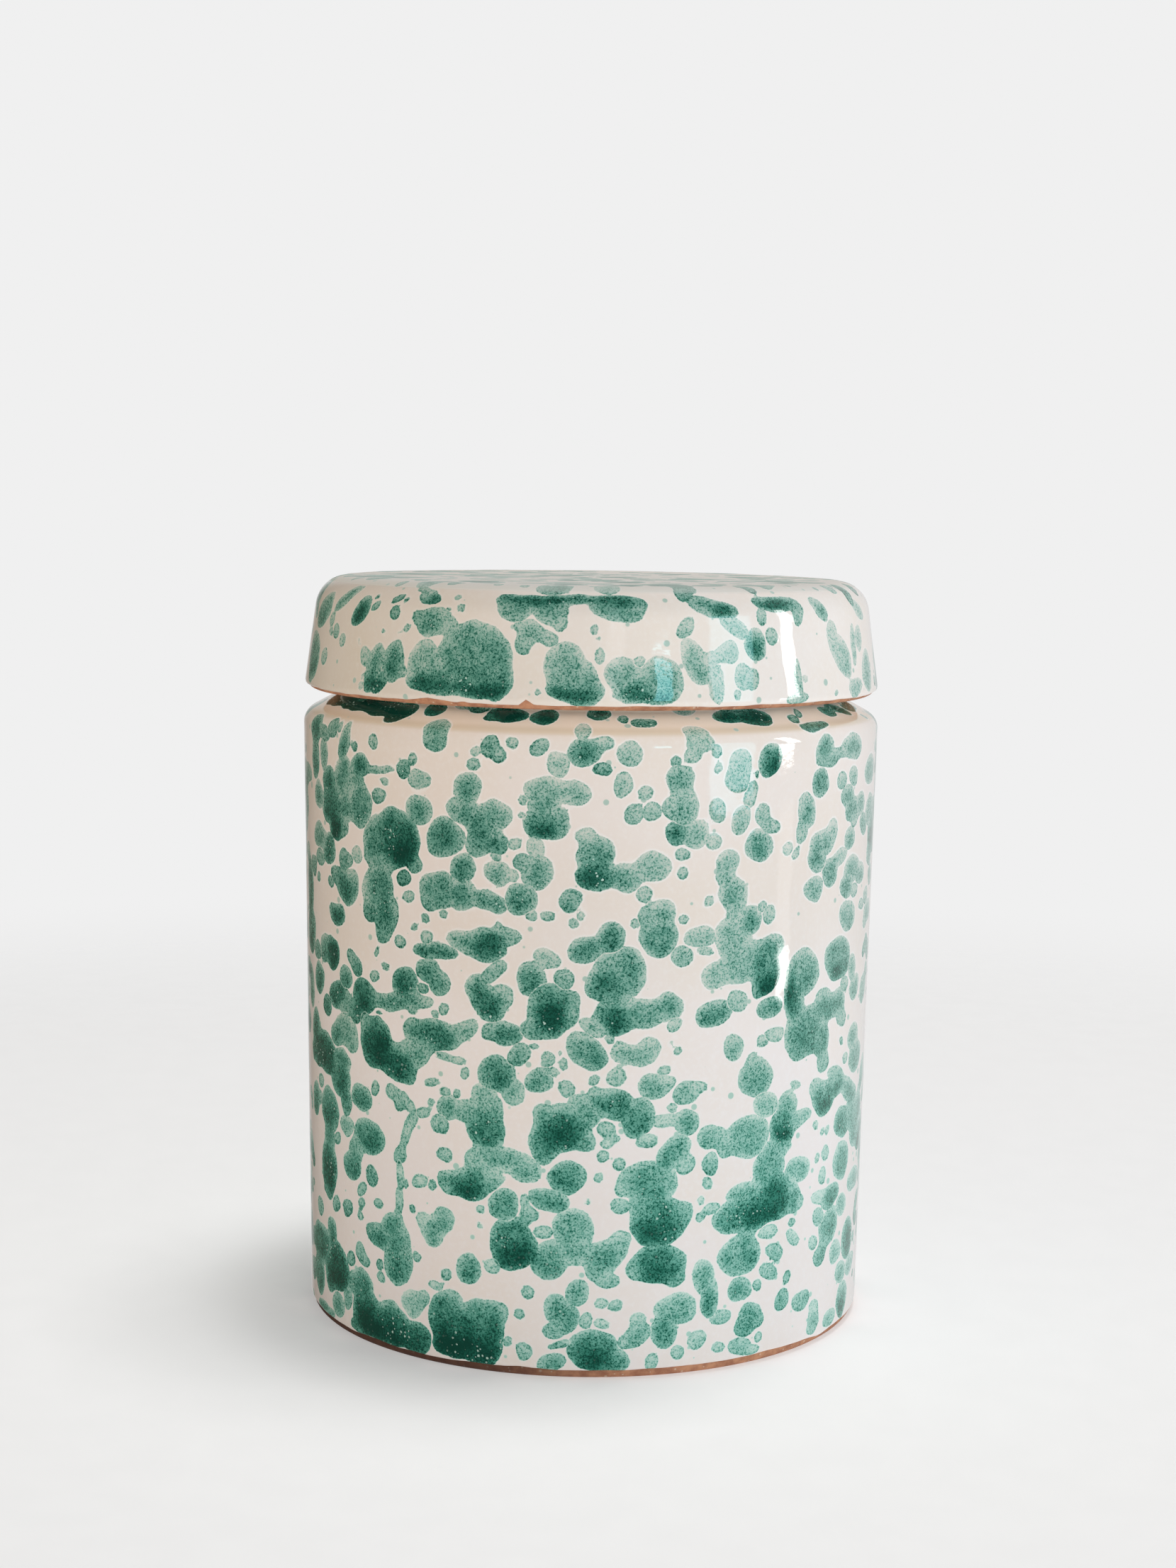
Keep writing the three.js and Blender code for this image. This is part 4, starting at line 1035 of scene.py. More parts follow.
def make_lid_outer_coat():
    skin = Skin()
    rest = [t for t in stops(LID_OUTSIDE, WALL_STEP) if BEAD < t < LID_LENGTH - LID_LAST_RING]
    add_face(skin, LID_OUTSIDE, rest, lid_columns, LID_EDGE, LID_START, rows=0.8)
    end = LID_LENGTH + LID_START
    skin.ring(LID_OUTSIDE, LID_LENGTH, GLAZE - 0.5 * WAVE_DEPTH, 1, end, 0.82)
    decorated = len(skin.gather(THETA))
    skin.ring(LID_OUTSIDE, LID_LENGTH, BACK_GAP, 1, row=0.86)
    add_back(skin, LID_OUTSIDE, LID_EDGE, LID_INSET, rows=0.12)
    piece = skin.mesh("lid_outer_coat", closed=True)

    rng = np.random.default_rng(SEED + 2)
    back_splashes, back_pools = scatter(rng, SKIRT_COUNT, on_back(SKIRT_HEIGHTS), GIRTH)
    top_splashes, top_pools = scatter(rng, TOP_COUNT, top_spot)
    splashes = laid(leaning(LID_SPLASHES)) + back_splashes
    pools = laid(LID_POOLS) + back_pools
    glazed = np.arange(len(skin.gather(THETA))) < decorated
    along = skin.gather(ALONG)
    splatter = Splatter(skin)
    theta = splatter.theta
    splatter.throw(theta * GIRTH_RADIUS, along, splashes, pools, glazed, GIRTH)
    distance = end - along
    on_top = glazed & (distance < LID_TOP_RADIUS + TOP_REACH)
    splatter.throw(distance * np.sin(theta), -distance * np.cos(theta), top_splashes, top_pools, on_top)
    splatter.store(piece, glazed)
    return piece


def make_lid_inner_coat():
    skin = Skin()
    length = LID_INSIDE.t[-1]
    edge = length - INNER_END
    line = edge - edge_line(COARSE, *INNER_EDGE)
    skin.ring(LID_INSIDE, 0, GLAZE, 1, row=0.02)
    for t in [t for t in stops(LID_INSIDE, INSIDE_STEP)[1:] if t < edge - BEAD]:
        skin.ring(LID_INSIDE, t, GLAZE - sink(turn(COARSE), t), COARSE, row=0.02 + 0.5 * t / length)
    for share in (1, *reversed(BEAD_SHARES)):
        distance = BEAD * share
        lift = bead(distance) - sink(turn(COARSE), edge) * share
        skin.ring(LID_INSIDE, line - distance, lift, COARSE, row=0.55 - 0.02 * share)
    skin.ring(LID_INSIDE, line - LID_INSET, BACK_GAP, COARSE, row=0.58)
    far = [t for t in stops(LID_INSIDE)[-2:0:-1] if t < edge - 1]
    add_plain(skin, LID_INSIDE, far, BACK_GAP, 0.98, -0.4)
    skin.ring(LID_INSIDE, 0, BACK_GAP, 1, row=0.98)
    return skin.mesh("lid_inner_coat")


def make_lid_clay():
    skin = Skin()
    skin.ring(LID_INSIDE, 0, 0, 1, row=0.02)
    add_plain(skin, LID_INSIDE, stops(LID_INSIDE)[1:], 0, 0.02, 0.3)
    add_plain(skin, LID_RIM, LID_RIM.t[1:], 0, 0.34, 0.1)
    add_plain(skin, LID_OUTSIDE, stops(LID_OUTSIDE)[1:-1], 0, 0.46, 0.5)
    skin.ring(LID_OUTSIDE, LID_LENGTH, 0, 1, row=0.98)
    return skin.mesh("lid_clay")


# Materials

class Tree:
    """A node tree, built node by node. Inputs are values or the outputs of other nodes."""

    def __init__(self, owner):
        owner.use_nodes = True
        self.tree = owner.node_tree
        self.tree.nodes.clear()

    def node(self, kind, inputs=None, **settings):
        node = self.tree.nodes.new(kind)
        for name, value in settings.items():
            setattr(node, name, value)
        for key, value in (inputs or {}).items():
            if isinstance(value, bpy.types.NodeSocket):
                self.tree.links.new(value, node.inputs[key])
            else:
                node.inputs[key].default_value = value
        return node

    def math(self, operation, *values):
        return self.node("ShaderNodeMath", dict(enumerate(values)), operation=operation).outputs[0]

    def vector(self, operation, *values, output=0):
        return self.node("ShaderNodeVectorMath", dict(enumerate(values)), operation=operation).outputs[output]

    def multiply(self, *values):
        """The product of numbers."""
        product = values[0]
        for value in values[1:]:
            product = self.math("MULTIPLY", product, value)
        return product

    def ease(self, value, low, high, at_low=0.0, at_high=1.0):
        """Goes smoothly from one value to another while the input goes from low to high."""
        inputs = {"Value": value, "From Min": low, "From Max": high, "To Min": at_low, "To Max": at_high}
        return self.node("ShaderNodeMapRange", inputs, interpolation_type="SMOOTHSTEP").outputs["Result"]

    def blend(self, factor, first, second):
        return self.node("ShaderNodeMix", {0: factor, 6: first, 7: second}, data_type="RGBA").outputs[2]

    def noise(self, place, scale, detail=2.0, roughness=0.5):
        inputs = {"Vector": place, "Scale": scale, "Detail": detail, "Roughness": roughness}
        return self.node("ShaderNodeTexNoise", inputs).outputs[0]

    def cells(self, place, scale):
        """Distance in millimetres to scattered points, and a random number for each of them."""
        cells = self.node("ShaderNodeTexVoronoi", {"Vector": place, "Scale": scale})
        distance = self.math("DIVIDE", cells.outputs["Distance"], scale)
        chance = self.node("ShaderNodeSeparateColor", {0: cells.outputs["Color"]}).outputs[0]
        return distance, chance

    def attribute(self, name):
        return self.node("ShaderNodeAttribute", attribute_name=name).outputs["Fac"]

    def ramp(self, value, colours):
        node = self.node("ShaderNodeValToRGB", {0: value})
        elements = node.color_ramp.elements
        while len(elements) < len(colours):
            elements.new(0.5)
        for element, (position, colour) in zip(elements, colours):
            element.position = position
            element.color = (*colour, 1)
        return node.outputs[0]

    def millimetres(self):
        place = self.node("ShaderNodeTexCoord").outputs["Object"]
        return self.vector("MULTIPLY", place, (1 / MM, 1 / MM, 1 / MM))

    def tinted(self, colour, value, ranges, tint):
        """The colour, multiplied by a tint while a value goes through a range."""
        white = (1, 1, 1, 1)
        return self.vector("MULTIPLY", colour, self.blend(self.ease(value, *ranges), white, tint))

    def surface(self, shader):
        self.node("ShaderNodeOutputMaterial", {"Surface": shader})

    def principled(self, relief, inputs):
        """A surface with a relief in millimetres."""
        bump = self.node("ShaderNodeBump", {"Strength": 1.0, "Distance": MM, "Height": relief})
        inputs = {**inputs, "Normal": bump.outputs[0]}
        self.surface(self.node("ShaderNodeBsdfPrincipled", inputs).outputs[0])


# Noises are given by scale, detail and roughness. Ranges are given by the two ends of what goes in and, where
# these are not 0 and 1, of what comes out. Distances are millimetres, and less than 0 inside a splash.
MIDDLE_RANGE = (0.3, 0.7)

# Cream: broad drifts from warm to cool, and white clouds
CREAM_WARM = (0.81, 0.722, 0.655, 1)
CREAM_COOL = (0.83, 0.752, 0.712, 1)
CREAM_WHITE = (0.86, 0.812, 0.785, 1)
DRIFT_NOISE = (0.035, 3.0)
CLOUD_NOISE = (0.9, 3.0, 0.6)
CLOUD_RANGE = (0.42, 0.75, 0.0, 0.35)
# Painted shade: the cream of the lid is darker and warmer on the left, where less light falls on it
LID_PAINTED_SHADE_RIGHT = (1.01, 0.99, 0.975, 1)
LID_PAINTED_SHADE_LEFT = (0.89, 0.865, 0.82, 1)
LID_PAINTED_SHADE_PLACES = (15, -55)
# It is a little pinker high on the jar, and lighter and whiter low down, which is painted light from below
UPPER_SHADE = (0.99, 0.955, 0.94, 1)
UPPER_HEIGHTS = (50, 115)
LOWER_PAINTED_LIGHT = (1.055, 1.05, 1.075, 1)
LOWER_PAINTED_LIGHT_HEIGHTS = (95, 65)
# Painted shade in tan where the shoulder breaks under the lid, and painted warm light, bounced from under the
# lid, in yellow on the slope above
PAINTED_SHADE_TAN = (0.56, 0.45, 0.34, 1)
PAINTED_LIGHT_YELLOW = (0.82, 0.70, 0.54, 1)
PAINTED_SHADE_SHARE = 0.7
PAINTED_LIGHT_SHARE = 0.45
BREAK_START = (135.8, 136.8)
BREAK_END = (138.0, 137.0)
# The top of the lid is rougher and less glossy, and greyed with painted shade and reflection, as it is seen
# edge-on
TOP_HEIGHTS = (165.0, 165.6)
TOP_ROUGHNESS = 0.42
TOP_GLOSS_RANGE = (0.0, 1.0, 0.5, 0.2)
TOP_PAINTED_GREY = (0.61, 0.645, 0.61, 1)
TOP_PAINTED_GREY_SHARE = 0.42

# Surface of the glaze: its unevenness, coarse and fine, the height of the splashes on it, and its gloss
PEEL_NOISE = (0.30, 2.0)
PEEL_HEIGHT = 0.02
FINE_NOISE = (1.4, 1.0)
FINE_HEIGHT = 0.003
SPLASH_RANGE = (0.5, -0.7)
SPLASH_HEIGHT = 0.012
GLOSS_NOISE = (0.12, 2.0)
GLOSS_RANGE = (*MIDDLE_RANGE, 0.03, 0.055)
GLAZE_IOR = 1.5

# Edges of the splashes: their tremble, how far they spread, how sharp they are, and the white round them
TREMBLE_NOISE = (1.6, 2.0)
TREMBLE = 0.34
JAR_SPREAD = 0.16
LID_SPREAD = 0.02
COVER_RANGE = (0.12, -0.14)
HALO_RANGE = (0.55, 0.08)
JAR_HALO = 0.7
LID_HALO = 0.25
# Ink towards the edge of a splash: a large one gets thinner, a small one has a ring
LARGE_RANGE = (-2.2, 0.0, 1.26, 0.70)
RING_RANGE = (-0.75, -0.1, 0.85, 1.35)
# Seams where splashes meet, which are paler in places
SEAM_MIDDLE = 0.05
SEAM_RANGE = (0.20, 0.05)
PARTED_NOISE = (0.16, 1.0)
PARTED_RANGE = (0.42, 0.56, 0.0, -0.6)
# Mottle, grain and clouds in the ink
MOTTLE_NOISE = (2.4, 3.0, 0.72)
MOTTLE_RANGE = (0.46, 0.70, 0.66, 1.95)
GRAIN_CELLS = 1.05
GRAIN_RANGE = (0.10, 0.60, 1.16, 0.86)
INK_CLOUD_NOISE = (0.30, 2.0)
INK_CLOUD_RANGE = (*MIDDLE_RANGE, 0.84, 1.2)
INK_STRENGTH = 1.25
# Fine flecks between the splashes: what the largest have over the smallest, and the size of the smallest
FLECK_CELLS = 0.26
FLECK_POWER = 2.0
FLECK_SIZES = (0.62, 0.16)
FLECK_RANGE = (0.14, -0.14, 0.0, 0.62)
# Small pale specks on thick ink, gathered in places: bubbles and crystals in the glaze, painted as glints of
# light
PAINTED_GLINT = (0.54, 0.74, 0.65, 1)
GLINT_CELLS = 1.05
GLINT_SIZES = (0.24, 0.04)
GLINT_NOISE = (2.4, 2.0)
GLINT_TREMBLE = 0.36
GLINT_RANGE = (0.08, -0.08, 0.0, 0.85)
GATHERED_NOISE = (0.14, 2.0)
GATHERED_RANGE = (0.48, 0.60, 0.08, 1.0)
GLINT_INK = (0.9, 2.0)
# Colour of the splashes from thin to thick, the ink at the thick end, and the ink that hides the cream
GREENS = [
    (0.0, (0.80, 0.73, 0.67)),
    (0.08, (0.62, 0.68, 0.60)),
    (0.18, (0.36, 0.54, 0.46)),
    (0.30, (0.15, 0.37, 0.29)),
    (0.47, (0.042, 0.20, 0.142)),
    (0.72, (0.010, 0.098, 0.066)),
    (1.0, (0.004, 0.052, 0.035)),
]
INK_SCALE = 4.0
HIDING_INK = (0.02, 0.3)
# The green is warmer high up, and bluer low on the jar
UPPER_GREEN = (1.0, 0.93, 0.945, 1)
LOWER_GREEN = (1.0, 1.10, 1.12, 1)
LOWER_GREEN_HEIGHTS = (75, 35)


def cream(tree, place):
    """Colour of the plain glaze."""
    drift = tree.ease(tree.noise(place, *DRIFT_NOISE), *MIDDLE_RANGE)
    colour = tree.blend(drift, CREAM_WARM, CREAM_COOL)
    cloud = tree.ease(tree.noise(place, *CLOUD_NOISE), *CLOUD_RANGE)
    return tree.blend(cloud, colour, CREAM_WHITE)


def cream_of_jar(tree, colour, height):
    """The cream, with its changes up the jar: painted light low down, painted shade where the shoulder breaks
    and painted warm light on the slope.
    """
    colour = tree.tinted(colour, height, UPPER_HEIGHTS, UPPER_SHADE)
    # Painted light from below: the cream is lighter and cooler low on the jar
    colour = tree.tinted(colour, height, LOWER_PAINTED_LIGHT_HEIGHTS, LOWER_PAINTED_LIGHT)
    # Painted shade in tan at the shoulder's break, and painted warm light in yellow on the slope
    above = tree.ease(height, *BREAK_START)
    below = tree.ease(height, *BREAK_END)
    colour = tree.blend(tree.multiply(above, below, PAINTED_SHADE_SHARE), colour, PAINTED_SHADE_TAN)
    return tree.blend(tree.multiply(above, PAINTED_LIGHT_SHARE), colour, PAINTED_LIGHT_YELLOW)


def splash_ink(tree, place, spread):
    """Ink at each place, how far it stands up, and the distance to the nearest splash."""
    noise = tree.noise(place, *TREMBLE_NOISE)
    tremble = tree.math("MULTIPLY_ADD", noise, TREMBLE, -TREMBLE / 2 - spread)
    density = 0.0
    cover = 0.0
    seam = 0.0
    raised = 0.0
    nearest = NO_SPLASH
    for layer in range(LAYERS):
        edge = tree.math("ADD", tree.attribute(f"edge_{layer}"), tremble)
        covered = tree.ease(edge, *COVER_RANGE)
        small = tree.attribute(f"small_{layer}")
        thin = tree.ease(edge, *LARGE_RANGE)
        ringed = tree.ease(edge, *RING_RANGE)
        shape = tree.math("MULTIPLY_ADD", tree.math("SUBTRACT", ringed, thin), small, thin)
        ink = tree.multiply(tree.attribute(f"ink_{layer}"), shape, covered)
        density = tree.math("MAXIMUM", density, ink)
        from_seam = tree.math("ABSOLUTE", tree.math("ADD", edge, SEAM_MIDDLE))
        outline = tree.multiply(tree.ease(from_seam, *SEAM_RANGE), cover)
        seam = tree.math("MAXIMUM", seam, outline)
        cover = tree.math("MAXIMUM", cover, covered)
        raised = tree.math("MAXIMUM", raised, tree.ease(edge, *SPLASH_RANGE))
        nearest = tree.math("MINIMUM", nearest, edge)
    parted = tree.ease(tree.noise(place, *PARTED_NOISE), *PARTED_RANGE)
    density = tree.multiply(density, tree.math("MULTIPLY_ADD", seam, parted, 1.0))
    density = tree.math("MULTIPLY_ADD", tree.attribute("pool"), cover, density)
    mottle = tree.ease(tree.noise(place, *MOTTLE_NOISE), *MOTTLE_RANGE)
    cell, _ = tree.cells(place, GRAIN_CELLS)
    grain = tree.ease(cell, *GRAIN_RANGE)
    cloud = tree.ease(tree.noise(place, *INK_CLOUD_NOISE), *INK_CLOUD_RANGE)
    density = tree.multiply(mottle, grain, cloud, density, INK_STRENGTH)
    return tree.math("MAXIMUM", density, fleck_ink(tree, place)), raised, nearest


def fleck_ink(tree, place):
    away, chance = tree.cells(place, FLECK_CELLS)
    reach = tree.math("MULTIPLY_ADD", tree.math("POWER", chance, FLECK_POWER), *FLECK_SIZES)
    fleck = tree.ease(tree.math("SUBTRACT", away, reach), *FLECK_RANGE)
    return tree.multiply(fleck, tree.attribute("splashed"))


def glints(tree, place, density):
    """Share of the painted glints at each place."""
    away, chance = tree.cells(place, GLINT_CELLS)
    reach = tree.math("MULTIPLY_ADD", chance, *GLINT_SIZES)
    noise = tree.noise(place, *GLINT_NOISE)
    tremble = tree.math("MULTIPLY_ADD", noise, GLINT_TREMBLE, -GLINT_TREMBLE / 2)
    edge = tree.math("ADD", tree.math("SUBTRACT", away, reach), tremble)
    gathered = tree.ease(tree.noise(place, *GATHERED_NOISE), *GATHERED_RANGE)
    return tree.multiply(tree.ease(edge, *GLINT_RANGE), gathered, tree.ease(density, *GLINT_INK))


def make_glaze(name, splashed, on_jar=False, on_lid=False):
    material = bpy.data.materials.new(name)
    tree = Tree(material)
    place = tree.millimetres()
    axes = tree.node("ShaderNodeSeparateXYZ", {0: place}).outputs
    height = axes[2]
    colour = cream(tree, place)
    if on_lid:
        # Painted shade, darkening and warming the lid's cream towards its left
        shade = tree.blend(tree.ease(axes[0], *LID_PAINTED_SHADE_PLACES), LID_PAINTED_SHADE_RIGHT, LID_PAINTED_SHADE_LEFT)
        colour = tree.vector("MULTIPLY", colour, shade)
    if on_jar:
        colour = cream_of_jar(tree, colour, height)
    relief = tree.multiply(tree.noise(place, *PEEL_NOISE), PEEL_HEIGHT)
    relief = tree.math("MULTIPLY_ADD", tree.noise(place, *FINE_NOISE), FINE_HEIGHT, relief)
    if splashed:
        spread, halo = (LID_SPREAD, LID_HALO) if on_lid else (JAR_SPREAD, JAR_HALO)
        density, raised, nearest = splash_ink(tree, place, spread)
        colour = tree.blend(tree.ease(nearest, *HALO_RANGE, 0.0, halo), colour, CREAM_WHITE)
        green = tree.ramp(tree.math("DIVIDE", density, INK_SCALE), GREENS)
        green = tree.tinted(green, height, UPPER_HEIGHTS, UPPER_GREEN)
        if on_jar:
            green = tree.tinted(green, height, LOWER_GREEN_HEIGHTS, LOWER_GREEN)
        colour = tree.blend(tree.ease(density, *HIDING_INK), colour, green)
        # Painted glints: pale specks on the thick ink
        colour = tree.blend(glints(tree, place, density), colour, PAINTED_GLINT)
        relief = tree.math("MULTIPLY_ADD", raised, SPLASH_HEIGHT, relief)
    roughness = tree.ease(tree.noise(place, *GLOSS_NOISE), *GLOSS_RANGE)
    inputs = {"Roughness": roughness, "IOR": GLAZE_IOR}
    if on_lid:
        on_top = tree.ease(height, *TOP_HEIGHTS)
        # Painted shade and reflection: the top of the lid is greyed
        colour = tree.blend(tree.multiply(on_top, TOP_PAINTED_GREY_SHARE), colour, TOP_PAINTED_GREY)
        inputs["Roughness"] = tree.math("MULTIPLY_ADD", on_top, TOP_ROUGHNESS, roughness)
        inputs["Specular IOR Level"] = tree.ease(on_top, *TOP_GLOSS_RANGE)
    inputs["Base Color"] = colour
    tree.principled(relief, inputs)
    return material


# Clay, with grit in it and an uneven surface
CLAY_LIGHT = (0.56, 0.27, 0.15, 1)
CLAY_DARK = (0.36, 0.14, 0.075, 1)
CLAY_GRIT = (0.66, 0.50, 0.38, 1)
CLAY_PALE = (0.64, 0.37, 0.23, 1)
CLAY_PAINTED_SHADOW = (0.045, 0.014, 0.010, 1)
CLAY_NOISE = (0.45, 4.0, 0.6)
GRIT_CELLS = 0.8
GRIT_SIZE = 0.3
GRIT_RANGE = (0.06, -0.04, 0.0, 0.7)
CLAY_RELIEF_NOISE = (1.1, 4.0, 0.65)
CLAY_RELIEF_HEIGHT = 0.12
CLAY_ROUGHNESS_RANGE = (0.0, 1.0, 0.75, 0.92)
# The foot is pale in patches underneath. Painted shade darkens it along the bevel of the hollow, and a
# painted shadow darkens the left of its outer band
FOOT_HEIGHTS = (8.0, 5.0)
FOOT_BAND = (FOOT_RADIUS - 2.4, FOOT_RADIUS - 1.7)
PATCH_NOISE = (0.06, 3.0)
PATCH_RANGE = (0.35, 0.65, 0.0, 0.6)
BEVEL_RANGE = (1.8, 0.3, 0.0, 0.6)
PAINTED_SHADOW_PLACES = (14.0, -26.0, 0.0, 0.85)


def make_clay(name):
    material = bpy.data.materials.new(name)
    tree = Tree(material)
    place = tree.millimetres()
    mottled = tree.ease(tree.noise(place, *CLAY_NOISE), *MIDDLE_RANGE)
    colour = tree.blend(mottled, CLAY_DARK, CLAY_LIGHT)
    away, chance = tree.cells(place, GRIT_CELLS)
    edge = tree.math("SUBTRACT", away, tree.multiply(chance, GRIT_SIZE))
    colour = tree.blend(tree.ease(edge, *GRIT_RANGE), colour, CLAY_GRIT)
    axes = tree.node("ShaderNodeSeparateXYZ", {0: place}).outputs
    low = tree.ease(axes[2], *FOOT_HEIGHTS)
    level = tree.vector("MULTIPLY", place, (1, 1, 0))
    distance = tree.vector("LENGTH", level, output="Value")
    rim = tree.multiply(low, tree.ease(distance, *FOOT_BAND))
    under = tree.math("SUBTRACT", low, rim)
    patchy = tree.ease(tree.noise(place, *PATCH_NOISE), *PATCH_RANGE)
    colour = tree.blend(tree.multiply(patchy, under), colour, CLAY_PALE)
    from_bevel = tree.math("ABSOLUTE", tree.math("SUBTRACT", distance, RECESS_RADIUS))
    # Painted shade along the bevel of the hollow underneath
    painted_bevel_shade = tree.multiply(under, tree.ease(from_bevel, *BEVEL_RANGE))
    colour = tree.blend(painted_bevel_shade, colour, CLAY_DARK)
    # Painted shadow on the left of the foot's outer band, where it meets the floor
    painted_shadow = tree.multiply(tree.ease(axes[0], *PAINTED_SHADOW_PLACES), rim)
    colour = tree.blend(painted_shadow, colour, CLAY_PAINTED_SHADOW)
    relief = tree.multiply(tree.noise(place, *CLAY_RELIEF_NOISE), CLAY_RELIEF_HEIGHT)
    roughness = tree.ease(mottled, *CLAY_ROUGHNESS_RANGE)
    tree.principled(relief, {"Base Color": colour, "Roughness": roughness})
    return material


# Floor and light

# Grey of the room as the camera sees it
PALE = 0.871
# Floor: radius, points round it, distances between which it fades out, grain and glow
FLOOR_RADIUS = 0.75
FLOOR_COLUMNS = 96
FLOOR_FADE = (0.30, 0.62)
FLOOR_NOISE = (90.0, 3.0)
FLOOR_RANGE = (*MIDDLE_RANGE, 0.59, 0.61)
FLOOR_GLOW = 0.485
# Shadow where the foot meets the floor, on the left: distances from the foot, depth, and where it fades out
CONTACT_REACH = (-0.004, 0.034)
CONTACT_DEPTH = 0.14
CONTACT_PLACES = (0.05, -0.06)


def make_floor():
    """A pale disc that fades out, and that is not seen from below."""
    points = [(FLOOR_RADIUS * math.sin(a), -FLOOR_RADIUS * math.cos(a), 0) for a in turn(FLOOR_COLUMNS)]
    mesh = bpy.data.meshes.new("floor")
    mesh.from_pydata(points, [], [list(range(FLOOR_COLUMNS))])
    floor = bpy.data.objects.new("floor", mesh)
    bpy.context.scene.collection.objects.link(floor)
    material = bpy.data.materials.new("pale_floor")
    tree = Tree(material)
    position = tree.node("ShaderNodeTexCoord").outputs["Object"]
    distance = tree.vector("LENGTH", position, output="Value")
    albedo = tree.ease(tree.noise(position, *FLOOR_NOISE), *FLOOR_RANGE)
    tone = tree.node("ShaderNodeCombineColor", {0: albedo, 1: albedo, 2: albedo}).outputs[0]
    matt = tree.node("ShaderNodeBsdfDiffuse", {"Color": tone}).outputs[0]
    axes = tree.node("ShaderNodeSeparateXYZ", {0: position}).outputs
    leftward = tree.ease(axes[0], *CONTACT_PLACES)
    start, end = (FOOT_RADIUS * MM + reach for reach in CONTACT_REACH)
    near = tree.ease(distance, start, end, CONTACT_DEPTH, 0.0)
    strength = tree.math("SUBTRACT", FLOOR_GLOW, tree.multiply(near, leftward))
    glow = tree.node("ShaderNodeEmission", {"Strength": strength}).outputs[0]
    lit = tree.node("ShaderNodeAddShader", {0: matt, 1: glow}).outputs[0]
    clear = tree.node("ShaderNodeBsdfTransparent").outputs[0]
    fade = tree.ease(distance, *FLOOR_FADE)
    below = tree.node("ShaderNodeNewGeometry").outputs["Backfacing"]
    hidden = tree.math("MAXIMUM", fade, below)
    tree.surface(tree.node("ShaderNodeMixShader", {0: hidden, 1: lit, 2: clear}).outputs[0])
    mesh.materials.append(material)
    floor.visible_glossy = False
    return floor


# Light of the room: turn of its brightest side in degrees, levels behind, beside and in front, change of the
# level, as a share, from eye height to straight up, and tints
SKY_TURN = -9.0
SKY_BACK = 0.0
SKY_SIDE = 0.40
SKY_FRONT = 1.42
SKY_TOP = -1.0
TINT_LEFT = (1.10, 0.98, 0.70)
TINT_RIGHT = (1.33, 1.25, 1.36)
# What the glaze mirrors: the room in front, the backdrop, and its left end
GLOSS_FRONT = (0.07, 0.065, 0.06, 1)
GLOSS_BACK = (0.72, 0.72, 0.72, 1)
GLOSS_LEFT = (0.12, 0.10, 0.08, 1)
GLOSS_LEFT_PLACES = (-0.08, -0.45)
GLOSS_BACK_PLACES = (-0.2, 0.45)


def make_world():
    """A room lit from the front, warm to the left, with a pale backdrop. The camera sees it plain."""
    world = bpy.data.worlds.new("room")
    bpy.context.scene.world = world
    tree = Tree(world)
    direction = tree.node("ShaderNodeTexCoord").outputs["Generated"]
    axes = tree.node("ShaderNodeSeparateXYZ", {0: direction}).outputs
    turned = math.radians(SKY_TURN)
    facing = (math.sin(turned), -math.cos(turned), 0)
    forward = tree.vector("DOT_PRODUCT", direction, facing, output="Value")
    levels = [(0.0, (SKY_BACK,) * 3), (0.5, (SKY_SIDE,) * 3), (1.0, (SKY_FRONT,) * 3)]
    level = tree.ramp(tree.math("MULTIPLY_ADD", forward, 0.5, 0.5), levels)
    across = tree.math("MULTIPLY_ADD", axes[0], 0.5, 0.5)
    tint = tree.ramp(across, [(0.0, TINT_LEFT), (0.5, (1, 1, 1)), (1.0, TINT_RIGHT)])
    diffuse = tree.vector("MULTIPLY", level, tint)
    height = tree.math("MULTIPLY_ADD", axes[2], SKY_TOP, 1.0)
    diffuse = tree.node("ShaderNodeVectorMath", {0: diffuse, "Scale": height}, operation="SCALE").outputs[0]
    backdrop = tree.blend(tree.ease(axes[0], *GLOSS_LEFT_PLACES), GLOSS_BACK, GLOSS_LEFT)
    glossy = tree.blend(tree.ease(axes[1], *GLOSS_BACK_PLACES), GLOSS_FRONT, backdrop)
    rays = tree.node("ShaderNodeLightPath")
    colour = tree.blend(rays.outputs["Is Glossy Ray"], diffuse, glossy)
    plain = tree.math("MAXIMUM", rays.outputs["Is Camera Ray"], rays.outputs["Is Transmission Ray"])
    colour = tree.blend(plain, colour, (PALE, PALE, PALE, 1))
    background = tree.node("ShaderNodeBackground", {"Color": colour, "Strength": 1.0}).outputs[0]
    tree.node("ShaderNodeOutputWorld", {"Surface": background})


# Colours of the lamps
WHITE = (1.0, 1.0, 1.0)
WARM = (1.0, 0.98, 0.96)
# Upright lamps round the jar and the lid, which light them alone and give the streaks of light: name, azimuth
# from the front towards +X in degrees, distance, width, bottom, top, colour and radiance
PANES = [
    ("pane_white", 79.6, 0.409, 0.046, 0.160, 0.34, WARM, 11.0),
    ("pane_mid", 76.2, 0.409, 0.044, 0.088, 0.150, WARM, 9.0),
    ("pane_low", 77.6, 0.409, 0.050, 0.012, 0.070, WARM, 0.8),
    ("pane_slit", 77.8, 0.409, 0.040, 0.003, 0.024, WARM, 7.0),
    ("pane_blue", 53.4, 0.480, 0.150, 0.060, 0.30, (0.30, 0.85, 1.0), 2.5),
    ("pane_narrow", 26.0, 0.480, 0.050, 0.165, 0.236, (0.30, 0.80, 0.92), 6.5),
    ("pane_faint", 8.5, 0.480, 0.045, 0.165, 0.62, (0.90, 0.95, 1.0), 0.9),
]
# A soft lamp high up, to the right and a little behind, which lights the floor alone and throws the shadow
KEY_PLACE = (0.20, 0.07, 1.30)
KEY_SIZE = (0.36, 0.36)
KEY_RADIANCE = 17.0
